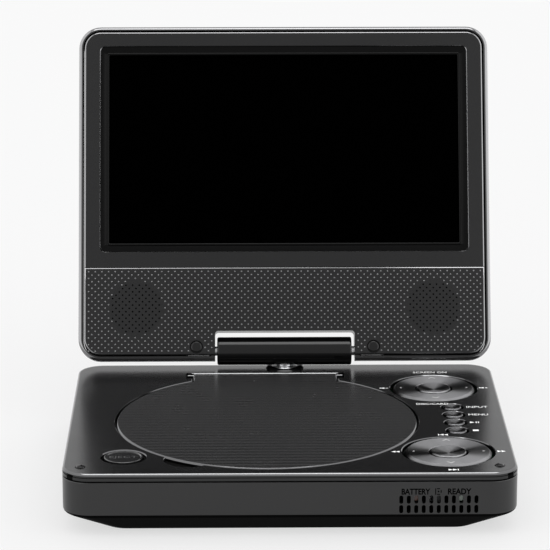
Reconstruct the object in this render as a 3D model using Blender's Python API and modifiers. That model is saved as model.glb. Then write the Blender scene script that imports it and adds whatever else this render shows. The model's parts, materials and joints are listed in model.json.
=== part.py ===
"""Portable disc player with a screen on a swivelling, tilting hinge, piece by piece.

Frame: +X to the user's right, +Y to the back, +Z up. The origin is on the floor under
the middle of the whole object, as it stands open. Sizes are millimetres throughout;
the helpers turn them into metres.
"""
import math

import bmesh
import bpy
from mathutils import Matrix, Vector

MM = 0.001
GAP = 0.3                 # between pieces that touch
OBJECT_NAME = "Portable disc player"

# ---- driving dimensions -------------------------------------------------------------
BASE_W, BASE_D, CORNER_R = 195.0, 162.0, 12.0
FRONT = -108.6            # y of the base's front edge
FOOT_H = 1.0              # how far the feet stand out of the underside
DECK = 28.0               # height of the top face
WALL = 2.0
SEAM = DECK - 3.8         # parting line of the two base shells
SLOPE_TOP = DECK - 19.4   # below this the walls slope in to the underside
SLOPE_SIDE, SLOPE_END = 19.0, 7.0
COVER_BOTTOM = DECK - WALL

DISC_X, DISC_Y = -9.3, 74.0          # spindle, y from the front edge
DOOR_R, DOOR_GAP = 67.5, 0.3
TONGUE_LEFT, TONGUE_RIGHT = -43.2, 24.3
DOOR_BOTTOM = DECK - 1.9
HINGE_Y, HINGE_Z = 143.4, (DECK + DOOR_BOTTOM) / 2
TRAY_R, TRAY_FLANGE_R = 62.0, 70.6
TRAY_FLOOR = 19.0
FLANGE_TOP = DOOR_BOTTOM - 0.4
SLOT_HALF = 8.0                      # pickup slot in the tray
SLED_Y = 50.0                        # pickup sled at rest
RAIL_Z = 12.0

RING_HOLE_R, RING_R, RING_BORE_R, SELECT_R = 20.25, 18.8, 8.6, 7.8
RINGS = {"upper": (68.5, 120.5), "lower": (69.0, 28.5)}
KEY_X, KEY_YS = 75.0, (91.5, 80.3, 69.0, 57.6)
KEY_HOLE_R, KEY_R = 5.2, 4.2
KEY_TOP = DECK + 0.3
BOARD_TOP = 21.6                     # keypad board
OPEN_X, OPEN_Y, OPEN_HOLE_R, OPEN_R = -71.7, 22.8, 8.9, 8.3
BUMPER_XS, BUMPER_Y, BUMPER_R = (-89.7, 89.7), 9.6, 2.0

VENT_COLUMNS, VENT_PITCH, VENT_X0 = 11, 3.2, 47.1
VENT_W, VENT_H = 1.7, 3.65
VENT_ROWS = (DECK - 11.9, DECK - 16.2)
SCREW_PLACES = ((-60, 12), (60, 12), (-60, 150), (60, 150))
FOOT_PLACES = ((-66, 24), (66, 24), (-66, 138), (66, 138))
FOOT_R = 5.0
PORT_Z = 14.5
SIDE_PORTS = {            # name: (y from the front, half width, half height or None if round)
    "power_jack": (138.0, 3.8, None),
    "headphone_jack": (122.0, 3.0, None),
    "av_jack": (108.0, 3.0, None),
    "usb_port": (86.0, 7.0, 3.5),
    "card_slot": (62.0, 13.5, 1.8),
    "power_switch": (38.0, 6.0, 1.8),
}

SWIVEL_Y = 155.0
TILT_Z = DECK + 7.9
NECK_R, BARREL_R, BARREL_BORE_R, CORE_R = 3.5, 6.6, 5.5, 5.1
COLLAR_R, PEDESTAL_R, PEDESTAL_TOP = 5.75, 9.0, DECK + 1.0
BARREL_LEFT, BARREL_RIGHT = -32.0, 31.5
SHAFT_R, SHAFT_HOLE_R = 2.2, 2.5

LID_W, LID_H, LID_R = 195.0, 160.0, 10.5
LID_TILT = math.radians(21.5)        # behind the upright at rest
AXIS_UP = 5.0                        # tilt axis above the lid's lower edge
LID_FRONT, LID_BACK = -6.9, 7.0      # faces, measured from the tilt axis
NOTCH_HALF, NOTCH_TOP = 33.0, 14.2
BEZEL_INSET = 2.35
SPEAKER_X, SPEAKER_UP = 70.3, 24.8
PLUG_X, PLUG_UP = 41.8, 6.4
BRACKET_IN, BRACKET_OUT = 36.0, 46.0

FINISHES = {              # colour, roughness, metallic
    "satin_black": ((0.020, 0.020, 0.022), 0.38, 0.0),
    "matte_black": ((0.012, 0.012, 0.013), 0.55, 0.0),
    "gloss_black": ((0.006, 0.006, 0.007), 0.12, 0.0),
    "key_metal": ((0.055, 0.055, 0.060), 0.30, 0.8),
    "display": ((0.002, 0.002, 0.002), 0.20, 0.0),
    "steel": ((0.55, 0.55, 0.56), 0.30, 1.0),
    "motor_steel": ((0.40, 0.40, 0.42), 0.35, 1.0),
    "rubber": ((0.010, 0.010, 0.010), 0.80, 0.0),
    "board_green": ((0.020, 0.110, 0.045), 0.50, 0.0),
    "battery_wrap": ((0.030, 0.060, 0.160), 0.45, 0.0),
    "lens_glass": ((0.050, 0.060, 0.140), 0.08, 0.0),
    "led_red": ((0.600, 0.030, 0.020), 0.20, 0.0),
    "led_green": ((0.050, 0.450, 0.080), 0.20, 0.0),
    "speaker_cone": ((0.030, 0.030, 0.032), 0.70, 0.0),
}


# ---- scene, collections and frames ---------------------------------------------------
def clear_scene():
    for obj in list(bpy.data.objects):
        bpy.data.objects.remove(obj, do_unlink=True)


def make_collection(name):
    collection = bpy.data.collections.new(name)
    bpy.context.scene.collection.children.link(collection)
    return collection


def make_material(name):
    colour, roughness, metallic = FINISHES[name]
    material = bpy.data.materials.new(name)
    material.use_nodes = True
    shader = material.node_tree.nodes["Principled BSDF"]
    shader.inputs["Base Color"].default_value = (*colour, 1.0)
    shader.inputs["Roughness"].default_value = roughness
    shader.inputs["Metallic"].default_value = metallic
    material.diffuse_color = (*colour, 1.0)
    return material


clear_scene()
PARTS = make_collection(OBJECT_NAME)
CUTTERS = make_collection("Cutters")
MATERIALS = {name: make_material(name) for name in FINISHES}


def from_front(y):
    """Turn a distance behind the base's front edge into a frame y."""
    return y + FRONT


def make_frame(name, x, y, z, turn=Matrix.Identity(4)):
    """An empty on a joint's axis, with its matrix in metres."""
    matrix = Matrix.Translation(Vector((x, y, z)) * MM) @ turn
    empty = bpy.data.objects.new(name, None)
    empty.empty_display_size = 10 * MM
    PARTS.objects.link(empty)
    empty.matrix_world = matrix
    return empty, matrix


# ---- mesh builders, in millimetres ---------------------------------------------------
def rounded_rect(x0, x1, y0, y1, radius, steps=6):
    """Outline of a rectangle with round corners, anticlockwise."""
    corners = ((x1 - radius, y0 + radius, -90), (x1 - radius, y1 - radius, 0),
               (x0 + radius, y1 - radius, 90), (x0 + radius, y0 + radius, 180))
    points = []
    for cx, cy, start in corners:
        for k in range(steps + 1):
            angle = math.radians(start + 90 * k / steps)
            points.append((cx + radius * math.cos(angle), cy + radius * math.sin(angle)))
    return points


def loft(sections, upright=False):
    """Closed body through outlines with equal numbers of points.

    Each section is (outline, depth). Depth is z, or y where upright is true and the
    outlines are in x and z.
    """
    bm = bmesh.new()
    rings = []
    for outline, depth in sections:
        place = (lambda u, v: (u, depth, v)) if upright else (lambda u, v: (u, v, depth))
        rings.append([bm.verts.new(place(u, v)) for u, v in outline])
    count = len(rings[0])
    for low, high in zip(rings, rings[1:]):
        for k in range(count):
            after = (k + 1) % count
            bm.faces.new((low[k], low[after], high[after], high[k]))
    bm.faces.new(reversed(rings[0]))
    bm.faces.new(rings[-1])
    bmesh.ops.recalc_face_normals(bm, faces=bm.faces[:])
    return bm


def prism(outline, z0, z1):
    return loft(((outline, z0), (outline, z1)))


def box(x0, x1, y0, y1, z0, z1):
    bm = bmesh.new()
    size = Matrix.Diagonal((x1 - x0, y1 - y0, z1 - z0, 1.0))
    middle = Matrix.Translation(((x0 + x1) / 2, (y0 + y1) / 2, (z0 + z1) / 2))
    bmesh.ops.create_cube(bm, size=1.0, matrix=middle @ size)
    return bm


TURN_TO = {"X": Matrix.Rotation(math.radians(90), 4, "Y"),
           "Y": Matrix.Rotation(math.radians(-90), 4, "X"),
           "Z": Matrix.Identity(4)}


def cylinder(centre, radius, low, high, axis="Z", segments=32):
    """Cylinder between two coordinates along an axis; centre holds the other two."""
    middle = list(centre)
    middle.insert("XYZ".index(axis), (low + high) / 2)
    bm = bmesh.new()
    bmesh.ops.create_cone(bm, cap_ends=True, segments=segments, radius1=radius,
                          radius2=radius, depth=high - low,
                          matrix=Matrix.Translation(middle) @ TURN_TO[axis])
    return bm


def merged(*meshes):
    """One cutter made of several separate bodies."""
    bm = meshes[0]
    for other in meshes[1:]:
        data = bpy.data.meshes.new("scratch")
        other.to_mesh(data)
        bm.from_mesh(data)
        bpy.data.meshes.remove(data)
        other.free()
    return bm


def make_object(name, bm, collection, frame=None, is_local=False):
    """Turn a mesh in millimetres into an object, under its joint's empty if it has one."""
    bm.transform(Matrix.Diagonal((MM, MM, MM, 1.0)))
    if frame and not is_local:
        bm.transform(frame[1].inverted())
    data = bpy.data.meshes.new(name)
    bm.to_mesh(data)
    bm.free()
    obj = bpy.data.objects.new(name, data)
    collection.objects.link(obj)
    if frame:
        obj.parent = frame[0]
    return obj


def piece(name, bm, finish, frame=None, is_local=False):
    obj = make_object(name, bm, PARTS, frame, is_local)
    obj.data.materials.append(MATERIALS[finish])
    obj.data.shade_smooth()
    obj.data.set_sharp_from_angle(angle=math.radians(35))
    return obj


def combine(obj, bm, operation, is_local=False):
    """Boolean with a hidden tool that shares the object's frame."""
    frame = (obj.parent, joint_matrix(obj.parent)) if obj.parent else None
    tool = make_object(f"{obj.name}_tool", bm, CUTTERS, frame, is_local)
    tool.hide_render = True
    tool.display_type = "WIRE"
    modifier = obj.modifiers.new(operation.title(), "BOOLEAN")
    modifier.operation = operation
    modifier.object = tool
    return tool


def joint_matrix(empty):
    return FRAMES[empty.name][1]


def cut(obj, bm, is_local=False):
    return combine(obj, bm, "DIFFERENCE", is_local)


def join(obj, bm, is_local=False):
    return combine(obj, bm, "UNION", is_local)


def turned(name, profile, centre, finish, frame=None, steps=28):
    """A turned piece: its profile runs down the outer side, from axis to axis.

    profile is a list of (radius, z). A profile with no point on the axis is a ring, and
    is closed into a loop.
    """
    is_ring = min(radius for radius, _ in profile) > 0
    data = bpy.data.meshes.new(name)
    count = len(profile)
    edges = [(k, k + 1) for k in range(count - 1)] + ([(count - 1, 0)] if is_ring else [])
    data.from_pydata([(r * MM, 0, z * MM) for r, z in profile], edges, [])
    obj = bpy.data.objects.new(name, data)
    PARTS.objects.link(obj)
    place = Matrix.Translation(Vector((*centre, 0)) * MM)
    if frame:
        obj.parent = frame[0]
        place = frame[1].inverted() @ place
    obj.matrix_local = place
    obj.data.materials.append(MATERIALS[finish])
    screw = obj.modifiers.new("Turn", "SCREW")
    screw.steps = steps
    screw.render_steps = steps
    screw.use_merge_vertices = True
    screw.merge_threshold = 1e-5
    screw.use_smooth_shade = True
    return obj


# ---- joint frames --------------------------------------------------------------------
DISC = (DISC_X, from_front(DISC_Y))
HINGE = from_front(HINGE_Y)
SWIVEL = (0.0, from_front(SWIVEL_Y))
OPEN = (OPEN_X, from_front(OPEN_Y))
LATCH_TURN = math.atan2(OPEN[1] - DISC[1], OPEN[0] - DISC[0])
RAIL_SPAN = 15.0                     # guide rods, each side of the spindle
SCREW_X = DISC_X + 23.5

FRAMES = {}


def add_frame(name, x, y, z, turn=Matrix.Identity(4)):
    FRAMES[name] = make_frame(name, x, y, z, turn)


def add_frames():
    add_frame("swivel_axis", *SWIVEL, TILT_Z)
    add_frame("tilt_axis", *SWIVEL, TILT_Z, Matrix.Rotation(-LID_TILT, 4, "X"))
    add_frame("door_axis", DISC_X, HINGE, HINGE_Z)
    add_frame("latch_slide", *DISC, 0.0, Matrix.Rotation(LATCH_TURN, 4, "Z"))
    add_frame("open_press", *OPEN, DECK)
    add_frame("spindle_axis", *DISC, TRAY_FLOOR)
    add_frame("sled_slide", DISC_X, from_front(SLED_Y), RAIL_Z)
    add_frame("lead_screw_axis", SCREW_X, from_front(SLED_Y), RAIL_Z)
    add_frame("power_slide", BASE_W / 2, from_front(SIDE_PORTS["power_switch"][0]), PORT_Z)
    for side, (x, y) in RINGS.items():
        add_frame(f"{side}_rock", x, from_front(y), DECK - 2)
    for number, y in enumerate(KEY_YS, start=1):
        add_frame(f"key_{number}_press", KEY_X, from_front(y), DECK)


add_frames()


# ---- base shells ---------------------------------------------------------------------
def base_outline(inset_side, inset_front, inset_back, radius):
    half = BASE_W / 2 - inset_side
    return rounded_rect(-half, half, from_front(inset_front),
                        from_front(BASE_D - inset_back), radius)


def vent_cutter():
    slots = []
    for row_z in VENT_ROWS:
        for column in range(VENT_COLUMNS):
            x = VENT_X0 + column * VENT_PITCH
            outline = rounded_rect(x - VENT_W / 2, x + VENT_W / 2, row_z - VENT_H / 2,
                                   row_z + VENT_H / 2, VENT_W * 0.45, steps=1)
            slots.append(loft(((outline, FRONT - 1), (outline, FRONT + WALL + 1)),
                              upright=True))
    return merged(*slots)


def side_port_cutter():
    wall = (BASE_W / 2 - WALL - 1, BASE_W / 2 + 1)
    holes = []
    for y, half_w, half_h in SIDE_PORTS.values():
        middle = from_front(y)
        if half_h is None:
            holes.append(cylinder((middle, PORT_Z), half_w + GAP, *wall, axis="X"))
        else:
            holes.append(box(*wall, middle - half_w - GAP, middle + half_w + GAP,
                             PORT_Z - half_h - GAP, PORT_Z + half_h + GAP))
    return merged(*holes)


def build_bottom_shell():
    bottom, floor = FOOT_H, FOOT_H + WALL
    edge = 0.6
    outer = loft((
        (base_outline(SLOPE_SIDE + edge, SLOPE_END + edge, SLOPE_END + edge, 8.0), bottom),
        (base_outline(SLOPE_SIDE - 1, SLOPE_END - 0.4, SLOPE_END - 0.4, 8.4), bottom + edge),
        (base_outline(edge, edge, edge, CORNER_R - edge), SLOPE_TOP - edge),
        (base_outline(0, 0, 0, CORNER_R), SLOPE_TOP + edge),
        (base_outline(0, 0, 0, CORNER_R), SEAM - GAP / 2)))
    shell = piece("base_bottom_shell", outer, "satin_black")
    inner_r = CORNER_R - WALL
    cut(shell, loft((
        (base_outline(SLOPE_SIDE + 0.5, SLOPE_END + 1, SLOPE_END + 1, 7.5), floor),
        (base_outline(WALL, WALL, WALL, inner_r), SLOPE_TOP + 1.4),
        (base_outline(WALL, WALL, WALL, inner_r), SEAM + 1))))
    boss_top = 12.0

    def upright_rods(places, radius, low, high, segments):
        return merged(*[cylinder((x, from_front(y)), radius, low, high, segments=segments)
                        for x, y in places])

    join(shell, upright_rods(SCREW_PLACES, 4.0, floor - 1, boss_top, 20))
    cut(shell, upright_rods(SCREW_PLACES, 1.5, 0.0, boss_top + 1, 16))
    cut(shell, upright_rods(SCREW_PLACES, 3.0, 0.0, bottom + 1.2, 20))
    cut(shell, upright_rods(FOOT_PLACES, FOOT_R + GAP, 0.0, bottom + 0.8, 32))
    cut(shell, vent_cutter())
    cut(shell, side_port_cutter())


def door_plan(gap, back):
    """Disc door seen from above: a circle with a straight-sided tongue at the back."""
    radius = DOOR_R + gap
    left, right = TONGUE_LEFT - gap, TONGUE_RIGHT + gap
    start = math.acos((right - DISC_X) / radius)
    end = math.acos((left - DISC_X) / radius) - math.tau
    steps = 56
    points = []
    for k in range(steps + 1):
        angle = start + (end - start) * k / steps
        points.append((DISC[0] + radius * math.cos(angle), DISC[1] + radius * math.sin(angle)))
    return points + [(left, back), (right, back)]


def build_top_cover():
    back_edge, side_edge, drop = 5.0, 0.8, 3.0
    sections = [(base_outline(0, 0, 0, CORNER_R), SEAM + GAP / 2)]
    for k in range(5):
        angle = math.radians(22.5 * k)
        inset = 1 - math.cos(angle)
        outline = base_outline(side_edge * inset, side_edge * inset, back_edge * inset,
                               CORNER_R - side_edge * inset)
        sections.append((outline, DECK - drop * (1 - math.sin(angle))))
    cover = piece("base_top_cover", loft(sections), "satin_black")
    inner = base_outline(WALL, WALL, WALL, CORNER_R - WALL)
    cut(cover, prism(inner, SEAM - 1, COVER_BOTTOM))
    cut(cover, prism(door_plan(DOOR_GAP, HINGE + 1.4), COVER_BOTTOM - 1, DECK + 1))
    notch = (from_front(136.0), from_front(145.0), COVER_BOTTOM - 1, DECK + 1)
    cut(cover, merged(box(TONGUE_LEFT - 3.3, TONGUE_LEFT + 0.2, *notch),
                      box(TONGUE_RIGHT - 0.2, TONGUE_RIGHT + 3.3, *notch)))
    rings = [cylinder((x, from_front(y)), RING_HOLE_R, COVER_BOTTOM - 1, DECK + 1,
                      segments=56) for x, y in RINGS.values()]
    keys = [cylinder((KEY_X, from_front(y)), KEY_HOLE_R, COVER_BOTTOM - 1, DECK + 1,
                     segments=28) for y in KEY_YS]
    open_hole = cylinder(OPEN, OPEN_HOLE_R, COVER_BOTTOM - 1, DECK + 1, segments=40)
    cut(cover, merged(*rings, *keys, open_hole))
    neck_hole = cylinder(SWIVEL, NECK_R + GAP, COVER_BOTTOM - 1, DECK + 1)
    cut(cover, neck_hole)
    bumper_holes = [cylinder((x, from_front(BUMPER_Y)), BUMPER_R + GAP, DECK - 1.2,
                             DECK + 1, segments=20) for x in BUMPER_XS]
    cut(cover, merged(*bumper_holes))
    scoop = cylinder((DISC[0] - 34, DISC[1] - 54), 10.5, DECK - 0.9, DECK + 1, segments=28)
    cut(cover, scoop)


def build_small_base_trim():
    for side, x in zip(("left", "right"), BUMPER_XS):
        profile = [(0, DECK + 0.85), (0.8, DECK + 0.75), (1.5, DECK + 0.4),
                   (BUMPER_R, DECK - 0.1), (BUMPER_R, DECK - 0.9), (0, DECK - 0.9)]
        turned(f"lid_bumper_{side}", profile, (x, from_front(BUMPER_Y)), "rubber", steps=14)
    for number, (x, y) in enumerate(FOOT_PLACES, start=1):
        profile = [(0, FOOT_H + 0.5), (FOOT_R, FOOT_H + 0.5), (FOOT_R, 0.4),
                   (FOOT_R - 0.4, 0), (0, 0)]
        turned(f"foot_{number}", profile, (x, from_front(y)), "rubber", steps=20)
    for number, (x, y) in enumerate(SCREW_PLACES, start=1):
        head = FOOT_H + 0.2
        profile = [(0, 16.0), (1.2, 15.0), (1.2, head + 0.9), (2.6, head + 0.9),
                   (2.4, head), (0, head)]
        turned(f"case_screw_{number}", profile, (x, from_front(y)), "steel", steps=12)


# ---- disc well and drive -------------------------------------------------------------
def build_tray():
    floor_bottom = TRAY_FLOOR - 1.5
    profile = [(TRAY_R, FLANGE_TOP), (TRAY_FLANGE_R, FLANGE_TOP),
               (TRAY_FLANGE_R, FLANGE_TOP - 1.5), (TRAY_R + 1.5, FLANGE_TOP - 1.5),
               (TRAY_R + 1.5, floor_bottom), (14.5, floor_bottom), (14.5, TRAY_FLOOR),
               (TRAY_R, TRAY_FLOOR)]
    tray = turned("disc_well_tray", profile, DISC, "matte_black", steps=72)
    join(tray, box(TONGUE_LEFT - 3.3, TONGUE_RIGHT + 3.3, DISC[1] + TRAY_R + 0.8,
                   from_front(147.2), FLANGE_TOP - 1.4, FLANGE_TOP - 0.1))
    cut(tray, box(DISC_X - SLOT_HALF, DISC_X + SLOT_HALF, from_front(12.7),
                  DISC[1] - 13.0, floor_bottom - 1, TRAY_FLOOR + 1))
    slot = box(63.7, 67.8, -3.7, 3.7, FLANGE_TOP - 2, FLANGE_TOP + 1)
    slot.transform(Matrix.Translation((*DISC, 0)) @ Matrix.Rotation(LATCH_TURN, 4, "Z"))
    cut(tray, slot)


def build_drive():
    plate_low, plate_high = TRAY_FLOOR - 3.2, TRAY_FLOOR - 1.8
    front, back = from_front(3.6), from_front(92.0)
    chassis = piece("drive_chassis", box(DISC_X - 33, DISC_X + 33, front, back,
                                         plate_low, plate_high), "steel")
    lug_front = (from_front(3.8), from_front(6.2))
    lug_back = (from_front(60.5), from_front(62.9))
    lugs = []
    for x in (DISC_X - RAIL_SPAN, DISC_X + RAIL_SPAN):
        for low, high in (lug_front, lug_back):
            lugs.append(box(x - 2.5, x + 2.5, low, high, RAIL_Z - 2.6, plate_low + 0.5))
    lugs.append(box(SCREW_X - 2.5, SCREW_X + 2.5, *lug_front, RAIL_Z - 2.6, plate_low + 0.5))
    join(chassis, merged(*lugs))
    cut(chassis, box(DISC_X - 11, DISC_X + 11, from_front(9.0), from_front(62.0),
                     plate_low - 0.2, plate_high + 1))
    cut(chassis, cylinder(DISC, 3.5, plate_low - 1, plate_high + 1))
    bores = [cylinder((x, RAIL_Z), 1.5 + GAP, from_front(3.0), from_front(64.0), "Y", 20)
             for x in (DISC_X - RAIL_SPAN, DISC_X + RAIL_SPAN, SCREW_X)]
    cut(chassis, merged(*bores))

    motor_top = plate_low - GAP
    motor = piece("spindle_motor", cylinder(DISC, 11.0, 9.0, motor_top), "motor_steel")
    cut(motor, cylinder(DISC, 1.3, RAIL_Z, motor_top + 1, segments=20))
    turned("turntable_hub",
           [(0, 24.9), (5.6, 24.9), (7.3, 23.6), (7.3, 21.0), (13.0, 21.0), (13.0, 19.7),
            (3.0, 19.7), (1.0, 19.2), (1.0, RAIL_Z + 0.5), (0, RAIL_Z + 0.5)],
           DISC, "matte_black", FRAMES["spindle_axis"])

    for side, x in (("left", DISC_X - RAIL_SPAN), ("right", DISC_X + RAIL_SPAN)):
        piece(f"sled_rod_{side}", cylinder((x, RAIL_Z), 1.5, from_front(4.0),
                                           from_front(62.7), "Y", 20), "steel")
    piece("sled_motor", cylinder((SCREW_X, RAIL_Z), 3.4, from_front(61.8), from_front(75.0),
                                 "Y", 28), "motor_steel")
    piece("lead_screw", cylinder((SCREW_X, RAIL_Z), 1.5, from_front(4.0), from_front(61.4),
                                 "Y", 20), "steel", FRAMES["lead_screw_axis"])


def build_pickup():
    frame = FRAMES["sled_slide"]
    low, high = 9.5, 15.2
    sled = piece("pickup_sled", box(DISC_X - 18.5, DISC_X + 18.5, from_front(SLED_Y - 8),
                                    from_front(SLED_Y + 8), low, high), "matte_black", frame)
    join(sled, box(DISC_X + 18.0, SCREW_X + 2.4, from_front(SLED_Y - 3),
                   from_front(SLED_Y + 3), RAIL_Z + 1.9, high - 0.1))
    rails = [cylinder((x, RAIL_Z), 1.5 + GAP, from_front(SLED_Y - 9), from_front(SLED_Y + 9),
                      "Y", 20) for x in (DISC_X - RAIL_SPAN, DISC_X + RAIL_SPAN)]
    cut(sled, merged(*rails))
    turned("pickup_lens", [(0, high + 3.1), (1.6, high + 2.9), (2.4, high + 2.4),
                           (3.2, high + 2.4), (3.2, high + 0.7), (0, high + 0.7)],
           (DISC_X, from_front(SLED_Y)), "lens_glass", frame, steps=24)


# ---- electronics and ports -----------------------------------------------------------
def build_boards():
    board = piece("main_board", box(-44, 62, from_front(88), from_front(143), 4.5, 6.1),
                  "board_green")
    chips = [box(-20, -4, from_front(100), from_front(116), 5.9, 7.6),
             box(10, 22, from_front(96), from_front(108), 5.9, 7.4),
             box(34, 50, from_front(112), from_front(130), 5.9, 8.4)]
    join(board, merged(*chips))
    keypad = piece("keypad_board", box(48, 92, from_front(8), from_front(143),
                                       BOARD_TOP - 1.6, BOARD_TOP), "board_green")
    cut(keypad, cylinder(DISC, TRAY_FLANGE_R + 1.4, BOARD_TOP - 3, BOARD_TOP + 1,
                         segments=64))
    piece("battery_pack", prism(rounded_rect(-74, -46, from_front(35), from_front(120), 3),
                                3.5, 14.0), "battery_wrap")
    for name, x, finish in (("charge_led", VENT_X0 + 2 * VENT_PITCH, "led_red"),
                            ("power_led", VENT_X0 + 8 * VENT_PITCH, "led_green")):
        piece(name, cylinder((x, VENT_ROWS[0]), 1.4, from_front(2.4), from_front(9.0), "Y",
                             16), finish)
    sensor_x = VENT_X0 + 5 * VENT_PITCH
    piece("ir_receiver", box(sensor_x - 2.5, sensor_x + 2.5, from_front(2.4),
                             from_front(6.4), 12.8, 18.8), "matte_black")


def build_round_jack(name, bore, nose):
    y = from_front(SIDE_PORTS[name][0])
    face = BASE_W / 2 - GAP
    jack = piece(name, box(84.0, 95.0, y - 4.4, y + 4.4, PORT_Z - 4.4, PORT_Z + 4.4),
                 "matte_black")
    join(jack, cylinder((y, PORT_Z), nose, 94.5, face, "X", 24))
    if name == "power_jack":
        tool = cut(jack, cylinder((y, PORT_Z), bore, 87.0, face + 1, "X", 24))
        keep_pin = cylinder((y, PORT_Z), 0.7, 86.0, face - 1.5, "X", 12)
        combine(tool, keep_pin, "DIFFERENCE")
    else:
        cut(jack, cylinder((y, PORT_Z), bore, 86.0, face + 1, "X", 24))


def build_ports():
    build_round_jack("power_jack", 2.75, 3.8)
    build_round_jack("headphone_jack", 1.8, 3.0)
    build_round_jack("av_jack", 1.8, 3.0)
    face = BASE_W / 2 - GAP
    y = from_front(SIDE_PORTS["usb_port"][0])
    usb = piece("usb_port", box(83.0, face, y - 7.0, y + 7.0, PORT_Z - 3.5, PORT_Z + 3.5),
                "steel")
    cut(usb, box(85.0, face + 1, y - 6.3, y + 6.3, PORT_Z - 2.6, PORT_Z + 2.6))
    join(usb, box(84.5, face - 1, y - 5.6, y + 5.6, PORT_Z + 0.2, PORT_Z + 1.8))
    y = from_front(SIDE_PORTS["card_slot"][0])
    card = piece("card_slot", box(80.0, face, y - 13.5, y + 13.5, PORT_Z - 1.8,
                                  PORT_Z + 1.8), "steel")
    cut(card, box(82.0, face + 1, y - 12.4, y + 12.4, PORT_Z - 1.1, PORT_Z + 1.1))
    y = from_front(SIDE_PORTS["power_switch"][0])
    knob = piece("power_switch_knob", box(93.5, BASE_W / 2 + 0.3, y - 5.5, y - 0.5,
                                          PORT_Z - 1.5, PORT_Z + 1.5), "matte_black",
                 FRAMES["power_slide"])
    join(knob, box(92.0, 94.0, y - 9.5, y + 3.5, PORT_Z - 3.2, PORT_Z + 3.2))


# ---- keys ----------------------------------------------------------------------------
def build_navigation(side):
    x, y = RINGS[side]
    frame = FRAMES[f"{side}_rock"]
    centre = (x, from_front(y))
    rocker_top = BOARD_TOP + 2.8
    turned(f"{side}_ring_rocker",
           [(12.0, rocker_top), (17.0, rocker_top), (17.0, rocker_top - 1.2),
            (12.0, rocker_top - 1.2)], centre, "matte_black", frame, steps=24)
    turned(f"{side}_ring",
           [(RING_BORE_R + 0.6, KEY_TOP), (RING_R - 0.9, KEY_TOP), (RING_R, KEY_TOP - 0.8),
            (RING_R, DECK - 2.9), (RING_BORE_R, DECK - 2.9), (RING_BORE_R, KEY_TOP - 0.6)],
           centre, "key_metal", frame, steps=44)
    turned(f"{side}_select_button",
           [(0, KEY_TOP), (SELECT_R - 0.6, KEY_TOP), (SELECT_R, KEY_TOP - 0.6),
            (SELECT_R, DECK - 2.6), (4.0, DECK - 2.6), (4.0, BOARD_TOP + 0.9),
            (0, BOARD_TOP + 0.9)], centre, "key_metal", frame)


def build_keys():
    for side in RINGS:
        build_navigation(side)
    for number, y in enumerate(KEY_YS, start=1):
        turned(f"menu_key_{number}",
               [(0, KEY_TOP), (KEY_R - 0.6, KEY_TOP), (KEY_R, KEY_TOP - 0.6),
                (KEY_R, BOARD_TOP + 0.9), (0, BOARD_TOP + 0.9)],
               (KEY_X, from_front(y)), "key_metal", FRAMES[f"key_{number}_press"], steps=20)
    turned("open_button",
           [(0, KEY_TOP - 0.4), (6.6, KEY_TOP - 0.4), (7.0, KEY_TOP), (OPEN_R - 0.4, KEY_TOP),
            (OPEN_R, KEY_TOP - 0.4), (OPEN_R, 25.0), (2.5, 25.0), (2.5, 23.9), (0, 23.9)],
           OPEN, "satin_black", FRAMES["open_press"])


# ---- disc door and its latch ---------------------------------------------------------
def build_door():
    frame = FRAMES["door_axis"]
    door = piece("disc_door", prism(door_plan(0.0, HINGE), DOOR_BOTTOM, DECK),
                 "satin_black", frame)
    join(door, cylinder((HINGE, HINGE_Z), 0.85, TONGUE_LEFT + 0.5, TONGUE_RIGHT - 0.5, "X",
                        16))
    join(door, cylinder((HINGE, HINGE_Z), 0.6, TONGUE_LEFT - 2.6, TONGUE_RIGHT + 2.6, "X",
                        12))
    catch = box(64.0, 66.0, -3.0, 3.0, 22.3, DOOR_BOTTOM + 0.5)
    catch.transform(Matrix.Translation((*DISC, 0)) @ Matrix.Rotation(LATCH_TURN, 4, "Z"))
    join(door, catch)


def build_latch():
    frame = FRAMES["latch_slide"]
    latch = piece("door_latch", box(66.4, 88.0, -3.5, 3.5, 20.4, 22.4), "matte_black",
                  frame, is_local=True)
    join(latch, box(66.4, 68.4, -2.0, 2.0, 22.0, 23.8), is_local=True)


# ---- hinge ---------------------------------------------------------------------------
def build_pedestal():
    """Low ring on the deck round the hinge's collar, cut off where the deck rounds down."""
    bore = COLLAR_R + 0.4
    profile = [(bore, PEDESTAL_TOP), (PEDESTAL_R - 1, PEDESTAL_TOP), (PEDESTAL_R, DECK + GAP),
               (bore, DECK + GAP)]
    pedestal = turned("swivel_pedestal", profile, SWIVEL, "gloss_black")
    cut(pedestal, box(-12, 12, from_front(157.0), from_front(170.0), DECK - 1, DECK + 3))


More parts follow.
